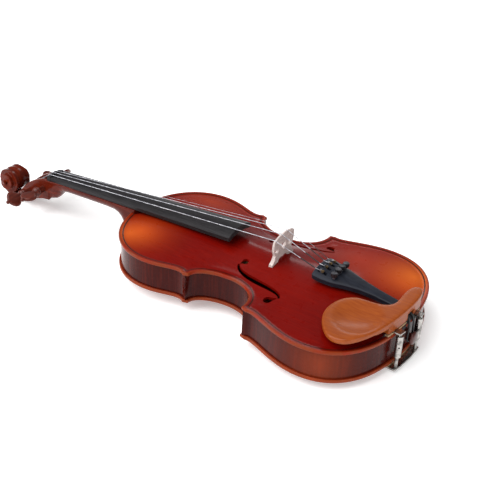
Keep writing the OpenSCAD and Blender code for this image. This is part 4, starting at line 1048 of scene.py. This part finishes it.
def foot(y1, y2, z0, z1, outer=0.6, inner=9.0):
    ring = [(end_x(y) - outer, y) for y in np.linspace(y1, y2, 15)]
    ring += [(end_x(y) - inner, y) for y in np.linspace(y2, y1, 15)]
    n = len(ring)
    points = [(x, y, z) for z in (z0, z1) for x, y in ring]
    faces = [(j, (j + 1) % n, (j + 1) % n + n, j + n) for j in range(n)]
    return points, faces + [tuple(range(n))[::-1], tuple(range(n, 2 * n))]


FOOT_Z = 7.6
piece("chin_rest_plate", *chin_rest(), "chin_rest_wood", replaces=("chin_rest",), sharp=70)
feet = piece("chin_rest_feet", *joined(foot(-40, -6.5, FOOT_Z, 22), foot(6.5, 24, FOOT_Z, 22.4),
                                        foot(-58, 25, 14.5, 20.5, 0.9, 7.0)), "chin_rest_wood", sharp=50)
rounded(feet, 0.0008, 3, 50)


# ---------------------------------------------------------------- CAD pieces that are shown as they are

SHOWN = {entry["node"]: entry["material_slot"] for entry in frame["record"]["subparts"]}
for name, obj in frame["nodes"].items():
    obj.data.materials.clear()
    obj.data.materials.append(MATS[SHOWN[name]])
    obj.data.shade_smooth()
    obj.data.set_sharp_from_angle(angle=math.radians(30))
for name in ("clamp_foot", "clamp_hook", "barrel_bass", "barrel_treble", "chin_rest_cork", "clamp_hook_cork"):
    rounded(frame["nodes"][name], 0.0003, 2, 50)


# ---------------------------------------------------------------- floor, light and camera

def softbox(name, place, target, size, power, colour=(1, 1, 1)):
    lamp = bpy.data.lights.new(name, "AREA")
    lamp.shape = "RECTANGLE"
    lamp.size, lamp.size_y = size
    lamp.energy = power
    lamp.color = colour
    obj = bpy.data.objects.new(name, lamp)
    obj.location = place
    obj.rotation_euler = (Vector(target) - Vector(place)).to_track_quat("-Z", "Y").to_euler()
    bpy.context.scene.collection.objects.link(obj)
    return obj


FLOOR_HALF = 60.0
floor_mesh = bpy.data.meshes.new("floor")
floor_mesh.from_pydata([(x * FLOOR_HALF, y * FLOOR_HALF, 0) for x, y in ((-1, -1), (1, -1), (1, 1), (-1, 1))],
                       [], [(0, 1, 2, 3)])
floor = bpy.data.objects.new("floor", floor_mesh)
bpy.context.scene.collection.objects.link(floor)
pale = Look("pale_floor", roughness=0.9, specular=0.1)
pale.put("Emission Color", (1, 1, 1, 1))
pale.put("Emission Strength", 0.34)
pale.feed("Base Color", pale.ramp(pale.noise(3), [(0.3, (0.93, 0.93, 0.93)), (0.7, (0.96, 0.96, 0.96))]))
floor_mesh.materials.append(pale.mat)

world = bpy.data.worlds.new("studio")
bpy.context.scene.world = world
world.use_nodes = True
background = world.node_tree.nodes["Background"]
background.inputs["Color"].default_value = (1, 1, 1, 1)
background.inputs["Strength"].default_value = 0.30
bpy.context.scene.view_settings.view_transform = "Standard"

sun = bpy.data.lights.new("key", "SUN")
sun.energy = 3.2
sun.angle = math.radians(65)
key = bpy.data.objects.new("key", sun)
key.rotation_euler = Vector((0.42, 0.50, -1.0)).to_track_quat("-Z", "Y").to_euler()
bpy.context.scene.collection.objects.link(key)
softbox("fill", (-1.3, -0.9, 0.7), (0, 0, 0.03), (0.4, 0.9), 6)
softbox("rim", (-0.5, 1.3, 0.9), (0, 0, 0.03), (0.5, 0.2), 1.5)
softbox("tail_light", (1.5, -0.5, 0.45), (0.2, 0, 0.04), (0.6, 0.6), 5)

camera = bpy.data.cameras.new("camera")
cam = bpy.data.objects.new("camera", camera)
bpy.context.scene.collection.objects.link(cam)
bpy.context.scene.camera = cam
AZIMUTH, ELEVATION, ROLL = (math.radians(a) for a in (32.718, 32.812, 3.578))
# Millimetres; the focal length is in picture widths
AIM, SHIFT, DISTANCE = Vector((100, 0, 0)), (-46.68, 13.023), 1212.908
SENSOR, FOCAL = 36, 1078.859 / 500
level = math.cos(ELEVATION)
back = Vector((math.sin(AZIMUTH) * level, -math.cos(AZIMUTH) * level, math.sin(ELEVATION)))
right = Vector((0, 0, 1)).cross(back).normalized()
up = back.cross(right)
turned_right = right * math.cos(ROLL) + up * math.sin(ROLL)
turned_up = up * math.cos(ROLL) - right * math.sin(ROLL)
place = AIM - turned_right * SHIFT[0] - turned_up * SHIFT[1] + back * DISTANCE
lean = Matrix.Rotation(REST_TILT, 3, "Y")
turn = Matrix((lean @ turned_right, lean @ turned_up, lean @ back)).transposed()
cam.matrix_world = Matrix.Translation(LYING @ place) @ turn.to_4x4()
camera.sensor_width = SENSOR
camera.lens = SENSOR * FOCAL
